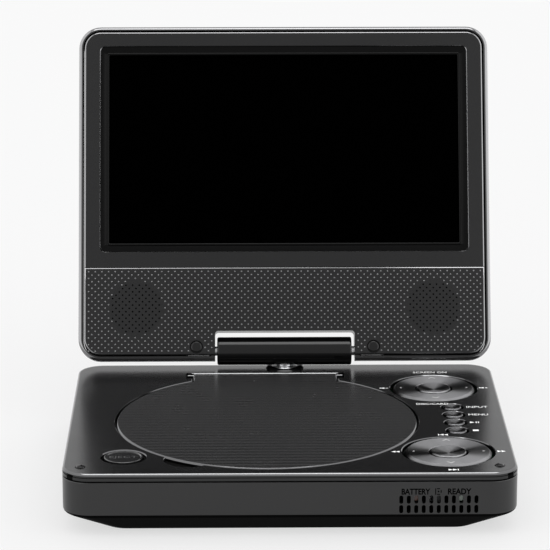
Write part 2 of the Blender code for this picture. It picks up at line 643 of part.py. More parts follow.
def build_hinge():
    frame = FRAMES["swivel_axis"]
    core = piece("hinge_core", cylinder((SWIVEL[1], TILT_Z), CORE_R, -14.0, 14.0, "X", 28),
                 "steel", frame)
    join(core, cylinder(SWIVEL, NECK_R, 19.0, TILT_Z - 3.0, segments=28))
    join(core, cylinder(SWIVEL, COLLAR_R, DECK + GAP, PEDESTAL_TOP - 0.05, segments=28))
    cut(core, cylinder((SWIVEL[1], TILT_Z), SHAFT_HOLE_R, -15, 15, "X", 24))
    piece("tilt_shaft", cylinder((SWIVEL[1], TILT_Z), SHAFT_R, -47.0, 47.0, "X", 24), "steel",
          frame)
    for side, low, high in (("front", -10.0, -0.15), ("rear", 0.15, 10.0)):
        cover = piece(f"barrel_cover_{side}",
                      cylinder((SWIVEL[1], TILT_Z), BARREL_R, BARREL_LEFT, BARREL_RIGHT,
                               "X", 48), "gloss_black", frame)
        cut(cover, cylinder((SWIVEL[1], TILT_Z), BARREL_BORE_R, BARREL_LEFT + 1.5,
                            BARREL_RIGHT - 1.5, "X", 40))
        cut(cover, cylinder((SWIVEL[1], TILT_Z), SHAFT_HOLE_R, -40, 40, "X", 24))
        cut(cover, cylinder(SWIVEL, NECK_R + GAP, DECK, TILT_Z, segments=28))
        keep = box(-40, 40, SWIVEL[1] + low, SWIVEL[1] + high, TILT_Z - 10, TILT_Z + 10)
        combine(cover, keep, "INTERSECT")


# ---- lid, in its own frame: z up from the tilt axis, y from the face to the back -----
def lid_outline(inset, radius):
    half = LID_W / 2 - inset
    return rounded_rect(-half, half, inset - AXIS_UP, LID_H - inset - AXIS_UP, radius)


def lid_z(up):
    """Turn a height above the lid's lower edge into the lid frame's z."""
    return up - AXIS_UP


def build_lid_shell():
    rim, rim_r, back_r = LID_FRONT + 0.6, 1.6, 4.0
    sections = []
    for k in range(4):
        angle = math.radians(30 * k)
        inset = rim_r * (1 - math.sin(angle))
        sections.append((lid_outline(inset, LID_R - inset), rim + rim_r * (1 - math.cos(angle))))
    for k in range(5):
        angle = math.radians(22.5 * k)
        inset = back_r * (1 - math.cos(angle))
        sections.append((lid_outline(inset, LID_R - inset),
                         LID_BACK - back_r * (1 - math.sin(angle))))
    frame = FRAMES["tilt_axis"]
    shell = piece("lid_rear_shell", loft(sections, upright=True), "satin_black", frame,
                  is_local=True)
    inside = (LID_FRONT - 1, LID_BACK - WALL)
    cavity = loft([(lid_outline(WALL, LID_R - WALL), depth) for depth in inside],
                  upright=True)
    tool = cut(shell, cavity, is_local=True)
    wall_box = box(-NOTCH_HALF - WALL, NOTCH_HALF + WALL, LID_FRONT - 2, LID_BACK + 1,
                   lid_z(-1), lid_z(NOTCH_TOP + WALL))
    combine(tool, wall_box, "DIFFERENCE", is_local=True)
    cut(shell, box(-NOTCH_HALF, NOTCH_HALF, LID_FRONT - 1, LID_BACK + 1, lid_z(-1),
                   lid_z(NOTCH_TOP)), is_local=True)
    cut(shell, box(-NOTCH_HALF - 3, NOTCH_HALF + 3, LID_FRONT - 1, LID_FRONT + 2.3,
                   lid_z(-1), lid_z(NOTCH_TOP + 3)), is_local=True)
    cut(shell, cylinder((0, 0), SHAFT_HOLE_R, -40, 40, "X", 24), is_local=True)


def build_bezel():
    front, back = LID_FRONT, LID_FRONT + 2.0
    radius = LID_R - BEZEL_INSET
    sections = ((lid_outline(BEZEL_INSET + 0.6, radius - 0.6), front),
                (lid_outline(BEZEL_INSET + 0.15, radius - 0.15), front + 0.25),
                (lid_outline(BEZEL_INSET, radius), front + 0.6),
                (lid_outline(BEZEL_INSET, radius), back))
    frame = FRAMES["tilt_axis"]
    bezel = piece("lid_bezel", loft(sections, upright=True), "satin_black", frame,
                  is_local=True)

    def window(half, low, high, depth):
        outline = rounded_rect(-half, half, lid_z(low), lid_z(high), 1.5, steps=3)
        return outline, depth

    cut(bezel, loft((window(87.4, 51.5, 150.5, front - 0.2), window(84.4, 53.4, 148.6, front + 1.1),
                     window(84.4, 53.4, 148.6, back + 1)), upright=True), is_local=True)
    cut(bezel, box(-NOTCH_HALF, NOTCH_HALF, front - 1, back + 1, lid_z(-1),
                   lid_z(NOTCH_TOP)), is_local=True)
    bosses, pockets = [], []
    for x in (-PLUG_X, PLUG_X):
        pockets.append(cylinder((x, lid_z(PLUG_UP)), 2.5 + GAP, front - 1, front + 1.1, "Y",
                                24))
        bosses.append(cylinder((x, lid_z(PLUG_UP)), 3.6, back - 0.2, back + 0.9, "Y", 24))
    join(bezel, merged(*bosses), is_local=True)
    cut(bezel, merged(*pockets), is_local=True)


def build_lid_inside():
    frame = FRAMES["tilt_axis"]
    back_of_bezel = LID_FRONT + 2.0
    piece("lcd_panel", box(-86, 86, back_of_bezel + GAP, -2.2, lid_z(51.6), lid_z(150.4)),
          "display", frame, is_local=True)
    for side, sign in (("left", -1), ("right", 1)):
        centre = (sign * SPEAKER_X, lid_z(SPEAKER_UP))
        speaker = piece(f"speaker_{side}",
                        cylinder(centre, 13.5, back_of_bezel + GAP, -1.0, "Y", 36),
                        "speaker_cone", frame, is_local=True)
        join(speaker, cylinder(centre, 7.5, -1.5, 3.0, "Y", 28), is_local=True)
        plug = cylinder((sign * PLUG_X, lid_z(PLUG_UP)), 2.5, LID_FRONT - 0.1,
                        LID_FRONT + 0.8, "Y", 24)
        piece(f"screw_plug_{side}", plug, "gloss_black", frame, is_local=True)
    bracket_back, bracket_top = LID_BACK - WALL - GAP, 18.0
    bracket = piece("hinge_bracket", box(-BRACKET_OUT, BRACKET_OUT, 0.5, bracket_back, 12.2,
                                         bracket_top), "steel", frame, is_local=True)
    lugs = []
    for low, high in ((-BRACKET_OUT, -BRACKET_IN), (BRACKET_IN, BRACKET_OUT)):
        lugs.append(box(low, high, -3.6, bracket_back - 0.1, -2.4, bracket_top - 0.1))
    join(bracket, merged(*lugs), is_local=True)
    cut(bracket, cylinder((0, 0), SHAFT_HOLE_R, -50, 50, "X", 24), is_local=True)


build_bottom_shell()
build_top_cover()
build_small_base_trim()
build_tray()
build_drive()
build_pickup()
build_boards()
build_ports()
build_keys()
build_door()
build_latch()
build_pedestal()
build_hinge()
build_lid_shell()
build_bezel()
build_lid_inside()
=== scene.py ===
"""Portable disc player: the finished look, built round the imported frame.

Pieces are modelled in millimetres and moved into the frame's metres when they are done.
Lid pieces are modelled in the lid's own frame: x to the right, z up the lid from the
tilt axis, y from its face to its back.
"""

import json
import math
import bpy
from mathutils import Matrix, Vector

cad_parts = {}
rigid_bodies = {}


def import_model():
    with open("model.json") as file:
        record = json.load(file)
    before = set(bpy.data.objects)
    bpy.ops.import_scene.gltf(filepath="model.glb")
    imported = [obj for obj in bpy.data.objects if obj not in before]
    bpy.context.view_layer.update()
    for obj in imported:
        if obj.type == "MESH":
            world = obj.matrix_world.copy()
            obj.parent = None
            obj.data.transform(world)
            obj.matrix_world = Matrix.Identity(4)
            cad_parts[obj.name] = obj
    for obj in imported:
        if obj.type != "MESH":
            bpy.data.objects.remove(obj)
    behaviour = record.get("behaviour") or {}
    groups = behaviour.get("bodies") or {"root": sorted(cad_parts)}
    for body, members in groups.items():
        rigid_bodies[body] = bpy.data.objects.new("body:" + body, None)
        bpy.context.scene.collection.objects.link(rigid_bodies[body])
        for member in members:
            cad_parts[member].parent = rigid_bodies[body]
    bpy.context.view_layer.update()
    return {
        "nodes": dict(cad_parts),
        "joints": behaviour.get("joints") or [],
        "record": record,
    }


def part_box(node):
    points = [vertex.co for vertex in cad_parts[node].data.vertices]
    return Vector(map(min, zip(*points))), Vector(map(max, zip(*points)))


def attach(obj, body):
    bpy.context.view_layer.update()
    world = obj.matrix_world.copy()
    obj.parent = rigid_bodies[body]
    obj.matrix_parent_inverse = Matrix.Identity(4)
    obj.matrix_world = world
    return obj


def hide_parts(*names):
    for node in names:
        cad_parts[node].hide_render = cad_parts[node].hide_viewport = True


bl_info = {
    "name": "Portable Disc Player",
    "version": (1, 0, 0),
    "blender": (4, 5, 0),
    "location": "View3D > Sidebar > Disc Player",
    "description": "Shells, keys, hinge and display of a portable disc player",
    "category": "Add Mesh",
}

import bmesh
import bpy
from bpy.props import FloatProperty, FloatVectorProperty, IntProperty, PointerProperty
from mathutils import Matrix, Vector

for leftover in list(bpy.data.objects):
    bpy.data.objects.remove(leftover, do_unlink=True)
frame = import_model()

MM = 0.001
TO_METRES = Matrix.Diagonal((MM, MM, MM, 1))
UPRIGHT = Matrix.Rotation(math.radians(90), 4, "X")    # stands a flat shape on its edge
SHARP_EDGE = math.radians(38)          # edges bent by more than this stay crisp
PRINT_DEPTH = 0.03                     # thickness of printed words and symbols, mm
JOINTS = {joint["name"]: joint for joint in frame["joints"]}
MOUNTS = {mount["name"]: mount for mount in frame["record"]["mounts"]}
SLOTS = {part["node"]: part["material_slot"] for part in frame["record"]["subparts"]}


# ---- places, read from the frame -----------------------------------------------------
def node_box(name):
    """Lowest and highest corners of a CAD node, in millimetres."""
    low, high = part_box(name)
    return low / MM, high / MM


def middle(name):
    low, high = node_box(name)
    return (low + high) / 2


CASE_LOW, CASE_HIGH = node_box("base_bottom_shell")
COVER_LOW, COVER_HIGH = node_box("base_top_cover")
DECK, SEAM_TOP, SEAM_BOTTOM = COVER_HIGH.z, COVER_LOW.z, CASE_HIGH.z
FRONT, BACK = CASE_LOW.y, CASE_HIGH.y
HALF_W = CASE_HIGH.x
CORNER_R, WALL = 12.0, 2.0
SLOPE_SIDE, SLOPE_END = 19.0, 7.0      # how far the underside is set in from the walls
SLOPE_TOP = DECK - 19.4

DISC = middle("turntable_hub")
DOOR_LOW = node_box("disc_door")[0]
DOOR_R = DISC.y - DOOR_LOW.y
DOOR_HINGE = Vector(JOINTS["disc_door_hinge"]["pos_m"]) / MM
TONGUE = (DISC.x - 33.9, DISC.x + 33.6)
DOOR_BOTTOM = DECK - 1.9
NOTCH_Y = (DOOR_HINGE.y - 7.4, DOOR_HINGE.y + 1.6)

RINGS = {side: middle(f"{side}_ring") for side in ("upper", "lower")}
RING_R = (node_box("upper_ring")[1].x - node_box("upper_ring")[0].x) / 2
RING_HOLE_R, RING_BORE_R, SELECT_R = RING_R + 1.45, 8.6, 7.8
KEYS = [middle(f"menu_key_{number}") for number in range(1, 5)]
KEY_TOP, KEY_R, KEY_HOLE_R = node_box("menu_key_1")[1].z, 4.2, 5.2
OPEN = middle("open_button")
OPEN_R, OPEN_HOLE_R, OPEN_DISH_R = 8.3, 8.9, 10.0
SWIVEL = Vector(JOINTS["screen_swivel"]["pos_m"]) / MM
NECK_R, COLLAR_R, PEDESTAL_R = 3.5, 5.75, 9.0
REST_R, PIN_BORE_R = 2.0, 2.5

LID_BACK_AXIS = MOUNTS["lid_back"]["axis"]
LID_TILT = math.atan2(-LID_BACK_AXIS[2], LID_BACK_AXIS[1])
LID_PIVOT = Vector(JOINTS["screen_tilt"]["pos_m"]) / MM
LID_FRAME = Matrix.Translation(LID_PIVOT) @ Matrix.Rotation(-LID_TILT, 4, "X")


def lid_box(name):
    """Lowest and highest corners of a lid node in the lid's own frame, in millimetres."""
    to_lid = LID_FRAME.inverted()
    points = [to_lid @ (vertex.co / MM) for vertex in frame["nodes"][name].data.vertices]
    low = Vector([min(point[k] for point in points) for k in range(3)])
    high = Vector([max(point[k] for point in points) for k in range(3)])
    return low, high


LID_LOW, LID_HIGH = lid_box("lid_rear_shell")
BEZEL_LOW, BEZEL_HIGH = lid_box("lid_bezel")
PANEL_LOW, PANEL_HIGH = lid_box("lcd_panel")
LID_R, RIM_W, GROOVE_W = 10.5, 2.0, 0.7
LID_NOTCH_HALF, LID_NOTCH_TOP = 33.0, LID_LOW.z + 14.2
INNER_WALL_REACH = 70.0                # nearer the lid's middle, a wall is the notch's
SPEAKER = Vector((70.3, LID_LOW.z + 24.8))
SPEAKER_R = 12.5
PLUG = Vector((41.8, LID_LOW.z + 6.4))
WINDOW = (87.2, LID_LOW.z + 51.7, LID_LOW.z + 150.3)
PANEL_SEAM = LID_LOW.z + 44.0
FACE = BEZEL_LOW.y


# ---- settings a user would change ----------------------------------------------------
class PlayerSizes(bpy.types.PropertyGroup):
    """Small sizes of the player's visible surfaces."""
    edge_round: FloatProperty(
        name="Edge Round", description="Rounding of the deck's rim, in millimetres",
        default=1.3, min=0.3, max=2.0)
    door_edge: FloatProperty(
        name="Door Edge", description="Chamfer of the disc door's rim, in millimetres",
        default=0.8, min=0.1, max=1.0)
    dish_depth: FloatProperty(
        name="Key Dish", description="Depth of the hollow in the keys, in millimetres",
        default=0.35, min=0.0, max=0.6)
    dot_pitch: FloatProperty(
        name="Dot Pitch", description="Distance between dots in a row, in millimetres",
        default=3.14, min=1.5, max=6.0)
    dot_radius: FloatProperty(
        name="Dot Radius", description="Radius of a raised dot, in millimetres",
        default=0.41, min=0.1, max=1.0)
    hole_radius: FloatProperty(
        name="Hole Radius", description="Radius of a speaker hole, in millimetres",
        default=0.42, min=0.1, max=1.0)
    vent_columns: IntProperty(
        name="Vent Columns", description="Slots in one row of the front vent",
        default=11, min=1, max=20)
    vent_pitch: FloatProperty(
        name="Vent Pitch", description="Distance between vent slots, in millimetres",
        default=3.2, min=2.0, max=6.0)


class PlayerColours(bpy.types.PropertyGroup):
    """Colours of the player's finishes."""
    shell: FloatVectorProperty(
        name="Shell", description="Satin plastic of the base", subtype="COLOR",
        default=(0.0070, 0.0070, 0.0073), min=0.0, max=1.0)
    bezel: FloatVectorProperty(
        name="Bezel", description="Textured plastic round the display", subtype="COLOR",
        default=(0.0034, 0.0034, 0.0036), min=0.0, max=1.0)
    gloss: FloatVectorProperty(
        name="Gloss", description="Polished plastic of the hinge", subtype="COLOR",
        default=(0.0018, 0.0018, 0.0019), min=0.0, max=1.0)
    metal: FloatVectorProperty(
        name="Key Metal", description="Turned metal of the keys", subtype="COLOR",
        default=(0.115, 0.115, 0.118), min=0.0, max=1.0)
    print_white: FloatVectorProperty(
        name="White Print", description="Printed key legends", subtype="COLOR",
        default=(0.62, 0.62, 0.62), min=0.0, max=1.0)


# ---- mesh tools, in millimetres ------------------------------------------------------
def rounded_rect(x0, x1, y0, y1, radius, steps=10):
    """Outline of a rectangle with round corners, anticlockwise."""
    corners = ((x1 - radius, y0 + radius, -90), (x1 - radius, y1 - radius, 0),
               (x0 + radius, y1 - radius, 90), (x0 + radius, y0 + radius, 180))
    points = []
    for cx, cy, start in corners:
        for k in range(steps + 1):
            angle = math.radians(start + 90 * k / steps)
            points.append((cx + radius * math.cos(angle), cy + radius * math.sin(angle)))
    return points


def circle(centre, radius, steps=96):
    return [(centre[0] + radius * math.cos(math.tau * k / steps),
             centre[1] + radius * math.sin(math.tau * k / steps)) for k in range(steps)]


def quarter_round(radius, steps):
    """Inset and rise along a rounded edge, from its side to its top."""
    angles = [math.pi / 2 * k / steps for k in range(steps + 1)]
    return [(radius * (1 - math.cos(a)), radius * math.sin(a)) for a in angles]


def fillet_path(points, radii, steps=4):
    """Round the inner corners of a path of 2D points."""
    path = [Vector(points[0])]
    for before, corner, after, radius in zip(points, points[1:], points[2:], radii):
        before, corner, after = Vector(before), Vector(corner), Vector(after)
        start = corner + (before - corner).normalized() * radius
        end = corner + (after - corner).normalized() * radius
        for k in range(steps + 1):
            t = k / steps
            path.append((1 - t) ** 2 * start + 2 * t * (1 - t) * corner + t * t * end)
    path.append(Vector(points[-1]))
    return path


PLANES = {"Z": lambda u, v, depth: (u, v, depth),
          "Y": lambda u, v, depth: (u, depth, v),
          "X": lambda u, v, depth: (depth, u, v)}


def loft(sections, axis="Z", closed=False):
    """Body through outlines with equal numbers of points, each with its depth.

    A closed loft joins its last section to its first, as a ring does.
    """
    place = PLANES[axis]
    bm = bmesh.new()
    rings = [[bm.verts.new(place(u, v, depth)) for u, v in outline]
             for outline, depth in sections]
    pairs = list(zip(rings, rings[1:]))
    if closed:
        pairs.append((rings[-1], rings[0]))
    count = len(rings[0])
    for low, high in pairs:
        for k in range(count):
            after = (k + 1) % count
            bm.faces.new((low[k], low[after], high[after], high[k]))
    if not closed:
        bm.faces.new(reversed(rings[0]))
        bm.faces.new(rings[-1])
    bmesh.ops.recalc_face_normals(bm, faces=bm.faces[:])
    return bm


def turned(centre, profile, axis="Z", closed=False, steps=96):
    """Body of circles: profile is a list of (radius, depth)."""
    return loft([(circle(centre, radius, steps), depth) for radius, depth in profile],
                axis, closed)


def rod(centre, radius, start, end, axis="Z", steps=96):
    return turned(centre, ((radius, start), (radius, end)), axis, steps=steps)


def box(x0, x1, y0, y1, z0, z1):
    outline = ((x0, y0), (x1, y0), (x1, y1), (x0, y1))
    return loft(((outline, z0), (outline, z1)))


def merged(meshes):
    """Several separate bodies in one mesh."""
    bm = bmesh.new()
    for other in meshes:
        data = bpy.data.meshes.new("scratch")
        other.to_mesh(data)
        other.free()
        bm.from_mesh(data)
        bpy.data.meshes.remove(data)
    return bm


def mesh_object(name, bm):
    data = bpy.data.meshes.new(name)
    bm.to_mesh(data)
    bm.free()
    obj = bpy.data.objects.new(name, data)
    bpy.context.scene.collection.objects.link(obj)
    return obj


def settle(obj):
    """Replace an object's mesh by what its modifiers make of it."""
    graph = bpy.context.evaluated_depsgraph_get()
    data = bpy.data.meshes.new_from_object(obj.evaluated_get(graph))
    obj.modifiers.clear()
    old, obj.data = obj.data, data
    if old.users == 0:
        bpy.data.meshes.remove(old)
    return obj


def combine(obj, tool, operation):
    """Boolean with a mesh or an object, which is used up."""
    if isinstance(tool, bmesh.types.BMesh):
        tool = mesh_object("tool", tool)
    modifier = obj.modifiers.new("Combine", "BOOLEAN")
    modifier.operation = operation
    modifier.object = tool
    settle(obj)
    bpy.data.objects.remove(tool, do_unlink=True)
    return obj


def cut(obj, tool):
    return combine(obj, tool, "DIFFERENCE")


def join(obj, tool):
    return combine(obj, tool, "UNION")


def publish(obj, body, material, nodes=(), to_frame=Matrix.Identity(4), others=()):
    """Move a finished piece into the frame, shade it, and let it ride on its body.

    Others are pairs of a finish's name and a test on a face's middle and normal, in the
    piece's own millimetres. A face takes the first finish whose test it passes.
    """
    obj.data.materials.clear()
    for finish in (material, *[FINISHES[name] for name, _ in others]):
        obj.data.materials.append(finish)
    for face in obj.data.polygons:
        passed = [k for k, (_, test) in enumerate(others, start=1)
                  if test(face.center, face.normal)]
        face.material_index = passed[0] if passed else 0
    obj.data.transform(TO_METRES @ to_frame)
    obj.data.shade_smooth()
    obj.data.set_sharp_from_angle(angle=SHARP_EDGE)
    obj.modifiers.new("Even Normals", "WEIGHTED_NORMAL").keep_sharp = True
    settle(obj)
    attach(obj, body)
    if nodes:
        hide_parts(*nodes)
    return obj


def piece(name, bm, body, material, nodes=()):
    return publish(mesh_object(name, bm), body, material, nodes)


# ---- geometry node grids -------------------------------------------------------------
def new_tree(name, sockets):
    """A modifier tree with number inputs, its input and output nodes."""
    tree = bpy.data.node_groups.new(name, "GeometryNodeTree")
    tree.is_modifier = True
    for label, kind, value in sockets:
        socket = tree.interface.new_socket(label, in_out="INPUT", socket_type=kind)
        socket.default_value = value
    tree.interface.new_socket("Geometry", in_out="OUTPUT",
                              socket_type="NodeSocketGeometry")
    return tree, tree.nodes.new("NodeGroupInput"), tree.nodes.new("NodeGroupOutput")


def node(tree, kind, *links, **settings):
    """Add a node, set its properties and link or set its inputs in order.

    A link is an output socket, a number, a vector, or None for an input left alone.
    """
    made = tree.nodes.new(kind)
    for key, value in settings.items():
        setattr(made, key, value)
    sockets = [socket for socket in made.inputs if socket.enabled]
    for socket, source in zip(sockets, links):
        if source is None:
            continue
        if isinstance(source, bpy.types.NodeSocket):
            tree.links.new(source, socket)
        else:
            socket.default_value = source
    return made


def math_node(tree, operation, *links):
    return node(tree, "ShaderNodeMath", *links, operation=operation).outputs[0]


FLOAT, INT = "NodeSocketFloat", "NodeSocketInt"
GRID_INPUTS = (("Columns", INT, 10), ("Rows", INT, 4), ("Pitch Across", FLOAT, 3.0),
               ("Pitch Up", FLOAT, 3.0), ("Stagger", FLOAT, 0.0))


def position_parts(tree):
    parts = node(tree, "ShaderNodeSeparateXYZ",
                 node(tree, "GeometryNodeInputPosition").outputs[0])
    return parts.outputs[0], parts.outputs[1]


def grid_points(tree, inputs):
    """A grid in x and y round the origin, whose odd rows are shifted by Stagger."""
    across = math_node(tree, "SUBTRACT", inputs["Columns"], 1.0)
    up = math_node(tree, "SUBTRACT", inputs["Rows"], 1.0)
    span_x = math_node(tree, "MULTIPLY", across, inputs["Pitch Across"])
    span_y = math_node(tree, "MULTIPLY", up, inputs["Pitch Up"])
    grid = node(tree, "GeometryNodeMeshGrid", span_x, span_y, inputs["Columns"],
                inputs["Rows"])
    half_span = math_node(tree, "MULTIPLY", span_y, 0.5)
    from_low = math_node(tree, "ADD", position_parts(tree)[1], half_span)
    row = math_node(tree, "ROUND", math_node(tree, "DIVIDE", from_low, inputs["Pitch Up"]))
    odd = math_node(tree, "MODULO", row, 2.0)
    shift = math_node(tree, "MULTIPLY", odd, inputs["Stagger"])
    offset = node(tree, "ShaderNodeCombineXYZ", shift)
    moved = node(tree, "GeometryNodeSetPosition", grid.outputs[0], None, None,
                 offset.outputs[0])
    return moved.outputs[0]


def finish_tree(tree, points, shape, keep, output, material_input):
    """Put a shape on the points that are kept, realize it and give it its material."""
    spread = node(tree, "GeometryNodeInstanceOnPoints", points, keep, shape)
    real = node(tree, "GeometryNodeRealizeInstances", spread.outputs[0])
    painted = node(tree, "GeometryNodeSetMaterial", real.outputs[0], None, material_input)
    tree.links.new(painted.outputs[0], output.inputs[0])


def distance_mask(tree, x, y, centre, radius, inside):
    """True within a radius of a centre, or beyond it."""
    across = math_node(tree, "SUBTRACT", x, centre[0])
    up = math_node(tree, "SUBTRACT", y, centre[1])
    square = math_node(tree, "ADD", math_node(tree, "MULTIPLY", across, across),
                       math_node(tree, "MULTIPLY", up, up))
    operation = "LESS_THAN" if inside else "GREATER_THAN"
    return math_node(tree, operation, square, math_node(tree, "MULTIPLY", radius, radius))


def slot_grid_tree():
    """Upright slots with round ends, as solid bars along z."""
    tree, given, output = new_tree("Slot Grid", (*GRID_INPUTS, (
        "Width", FLOAT, 1.7), ("Height", FLOAT, 3.65), ("Depth", FLOAT, 4.0),
        ("Material", "NodeSocketMaterial", None)))
    inputs = given.outputs
    outline = node(tree, "GeometryNodeCurvePrimitiveQuadrilateral", inputs["Width"],
                   inputs["Height"])
    corner = math_node(tree, "MULTIPLY", inputs["Width"], 0.48)
    rounded = node(tree, "GeometryNodeFilletCurve", outline.outputs[0], 6, corner,
                   mode="POLY")
    filled = node(tree, "GeometryNodeFillCurve", rounded.outputs[0], mode="NGONS")
    bar = node(tree, "GeometryNodeExtrudeMesh", filled.outputs[0], None, (0, 0, 1),
               inputs["Depth"], False)
    back = node(tree, "GeometryNodeFlipFaces", filled.outputs[0])
    both = tree.nodes.new("GeometryNodeJoinGeometry")
    tree.links.new(bar.outputs[0], both.inputs[0])
    tree.links.new(back.outputs[0], both.inputs[0])
    welded = node(tree, "GeometryNodeMergeByDistance", both.outputs[0])
    finish_tree(tree, grid_points(tree, inputs), welded.outputs[0], None, output,
                inputs["Material"])
    return tree


def round_field_tree(name, is_hole):
    """Speaker holes inside a circle, or raised dots outside the fittings of the bezel."""
    tree, given, output = new_tree(name, (*GRID_INPUTS, (
        "Radius", FLOAT, 0.45), ("Height", FLOAT, 0.3), ("Field Radius", FLOAT, 12.5),
        ("Material", "NodeSocketMaterial", None)))
    inputs = given.outputs
    points = grid_points(tree, inputs)
    x, y = position_parts(tree)
    if is_hole:
        shape = node(tree, "GeometryNodeMeshCylinder", 10, 1, 1, inputs["Radius"],
                     inputs["Height"])
        keep = distance_mask(tree, x, y, (0.0, 0.0), inputs["Field Radius"], True)
        finish_tree(tree, points, shape.outputs[0], keep, output, inputs["Material"])
        return tree
    ball = node(tree, "GeometryNodeMeshUVSphere", 8, 6, inputs["Radius"])
    flat = math_node(tree, "DIVIDE", inputs["Height"], inputs["Radius"])
    scale = node(tree, "ShaderNodeCombineXYZ", 1.0, 1.0, flat)
    shape = tree.nodes.new("GeometryNodeTransform")
    tree.links.new(ball.outputs[0], shape.inputs["Geometry"])
    tree.links.new(scale.outputs[0], shape.inputs["Scale"])
    side = math_node(tree, "ABSOLUTE", x)
    clear_speaker = distance_mask(tree, side, y, SPEAKER, inputs["Field Radius"], False)
    clear_plug = distance_mask(tree, side, y, PLUG, 3.6, False)
    beside_notch = math_node(tree, "GREATER_THAN", side, LID_NOTCH_HALF + 1.0)
    above_notch = math_node(tree, "GREATER_THAN", y, LID_NOTCH_TOP + 1.0)
    clear_notch = math_node(tree, "MAXIMUM", beside_notch, above_notch)
    inside = math_node(tree, "LESS_THAN", side, BEZEL_HIGH.x - 2.0)
    keep = math_node(tree, "MULTIPLY", math_node(tree, "MULTIPLY", clear_speaker,
                                                 clear_plug),
                     math_node(tree, "MULTIPLY", clear_notch, inside))
    finish_tree(tree, points, shape.outputs[0], keep, output, inputs["Material"])
    return tree


def run_tree(name, tree, **values):
    """An object made by a tree, with its inputs set by their identifiers."""
    obj = mesh_object(name, bmesh.new())
    modifier = obj.modifiers.new("Grid", "NODES")
    modifier.node_group = tree
    for item in tree.interface.items_tree:
        if item.in_out == "INPUT" and item.name in values:
            modifier[item.identifier] = values[item.name]
    return settle(obj)


# ---- finishes ------------------------------------------------------------------------
def new_finish(name, colour, roughness, **shader_values):
    material = bpy.data.materials.new(name)
    material.use_nodes = True
    tree = material.node_tree
    shader = tree.nodes["Principled BSDF"]
    shader.inputs["Base Color"].default_value = (*colour, 1.0)
    shader.inputs["Roughness"].default_value = roughness
    for label, value in shader_values.items():
        shader.inputs[label.replace("_", " ")].default_value = value
    return material, tree, shader


def object_place(tree, location=(0, 0, 0)):
    """Object coordinates, moved by a distance in metres."""
    coords = tree.nodes.new("ShaderNodeTexCoord")
    mapping = node(tree, "ShaderNodeMapping", coords.outputs["Object"], location)
    return mapping.outputs[0]


def noise(tree, vector, scale, detail=3.0):
    texture = tree.nodes.new("ShaderNodeTexNoise")
    tree.links.new(vector, texture.inputs["Vector"])
    texture.inputs["Scale"].default_value = scale
    texture.inputs["Detail"].default_value = detail
    return texture.outputs["Fac"]


def shade_range(tree, source, low, high):
    remap = tree.nodes.new("ShaderNodeMapRange")
    tree.links.new(source, remap.inputs["Value"])
    remap.inputs["To Min"].default_value = low
    remap.inputs["To Max"].default_value = high
    return remap.outputs["Result"]


def tint_variation(tree, shader, colour, source, spread):
    """Make the base colour a little lighter and darker along a pattern."""
    mix = tree.nodes.new("ShaderNodeMix")
    mix.data_type = "RGBA"
    tree.links.new(source, mix.inputs[0])
    mix.inputs[6].default_value = (*[c * (1 - spread) for c in colour], 1)
    mix.inputs[7].default_value = (*[c * (1 + spread) for c in colour], 1)
    tree.links.new(mix.outputs[2], shader.inputs["Base Color"])


def add_bump(tree, shader, height, depth, strength=1.0):
    bump = tree.nodes.new("ShaderNodeBump")
    bump.inputs["Distance"].default_value = depth
    bump.inputs["Strength"].default_value = strength
    tree.links.new(height, bump.inputs["Height"])
    tree.links.new(bump.outputs[0], shader.inputs["Normal"])


def moulded_plastic(name, colour, roughness, grain, depth, **shader_values):
    """Moulded plastic with a fine spark-eroded grain and a little uneven wear."""
    material, tree, shader = new_finish(name, colour, roughness, **shader_values)
    place = object_place(tree)
    tint_variation(tree, shader, colour, noise(tree, place, 35.0), 0.12)
    tree.links.new(shade_range(tree, noise(tree, place, 120.0, 4.0), roughness - 0.03,
                               roughness + 0.03), shader.inputs["Roughness"])
    add_bump(tree, shader, noise(tree, place, grain, 2.0), depth)
    return material


def ribbed_plastic(name, colour, roughness, pitch):
    """Satin plastic with fine straight lines across it."""
    material, tree, shader = new_finish(name, colour, roughness, Specular_IOR_Level=0.38)
    place = object_place(tree)
    wave = tree.nodes.new("ShaderNodeTexWave")
    wave.bands_direction = "Y"
    wave.wave_profile = "SIN"
    tree.links.new(place, wave.inputs["Vector"])
    wave.inputs["Scale"].default_value = math.tau / 20 / pitch / MM
    tint_variation(tree, shader, colour, wave.outputs["Fac"], 0.45)
    tree.links.new(shade_range(tree, noise(tree, place, 90.0), roughness - 0.04,
                               roughness + 0.04), shader.inputs["Roughness"])
    add_bump(tree, shader, wave.outputs["Fac"], 0.00004, 0.5)
    return material


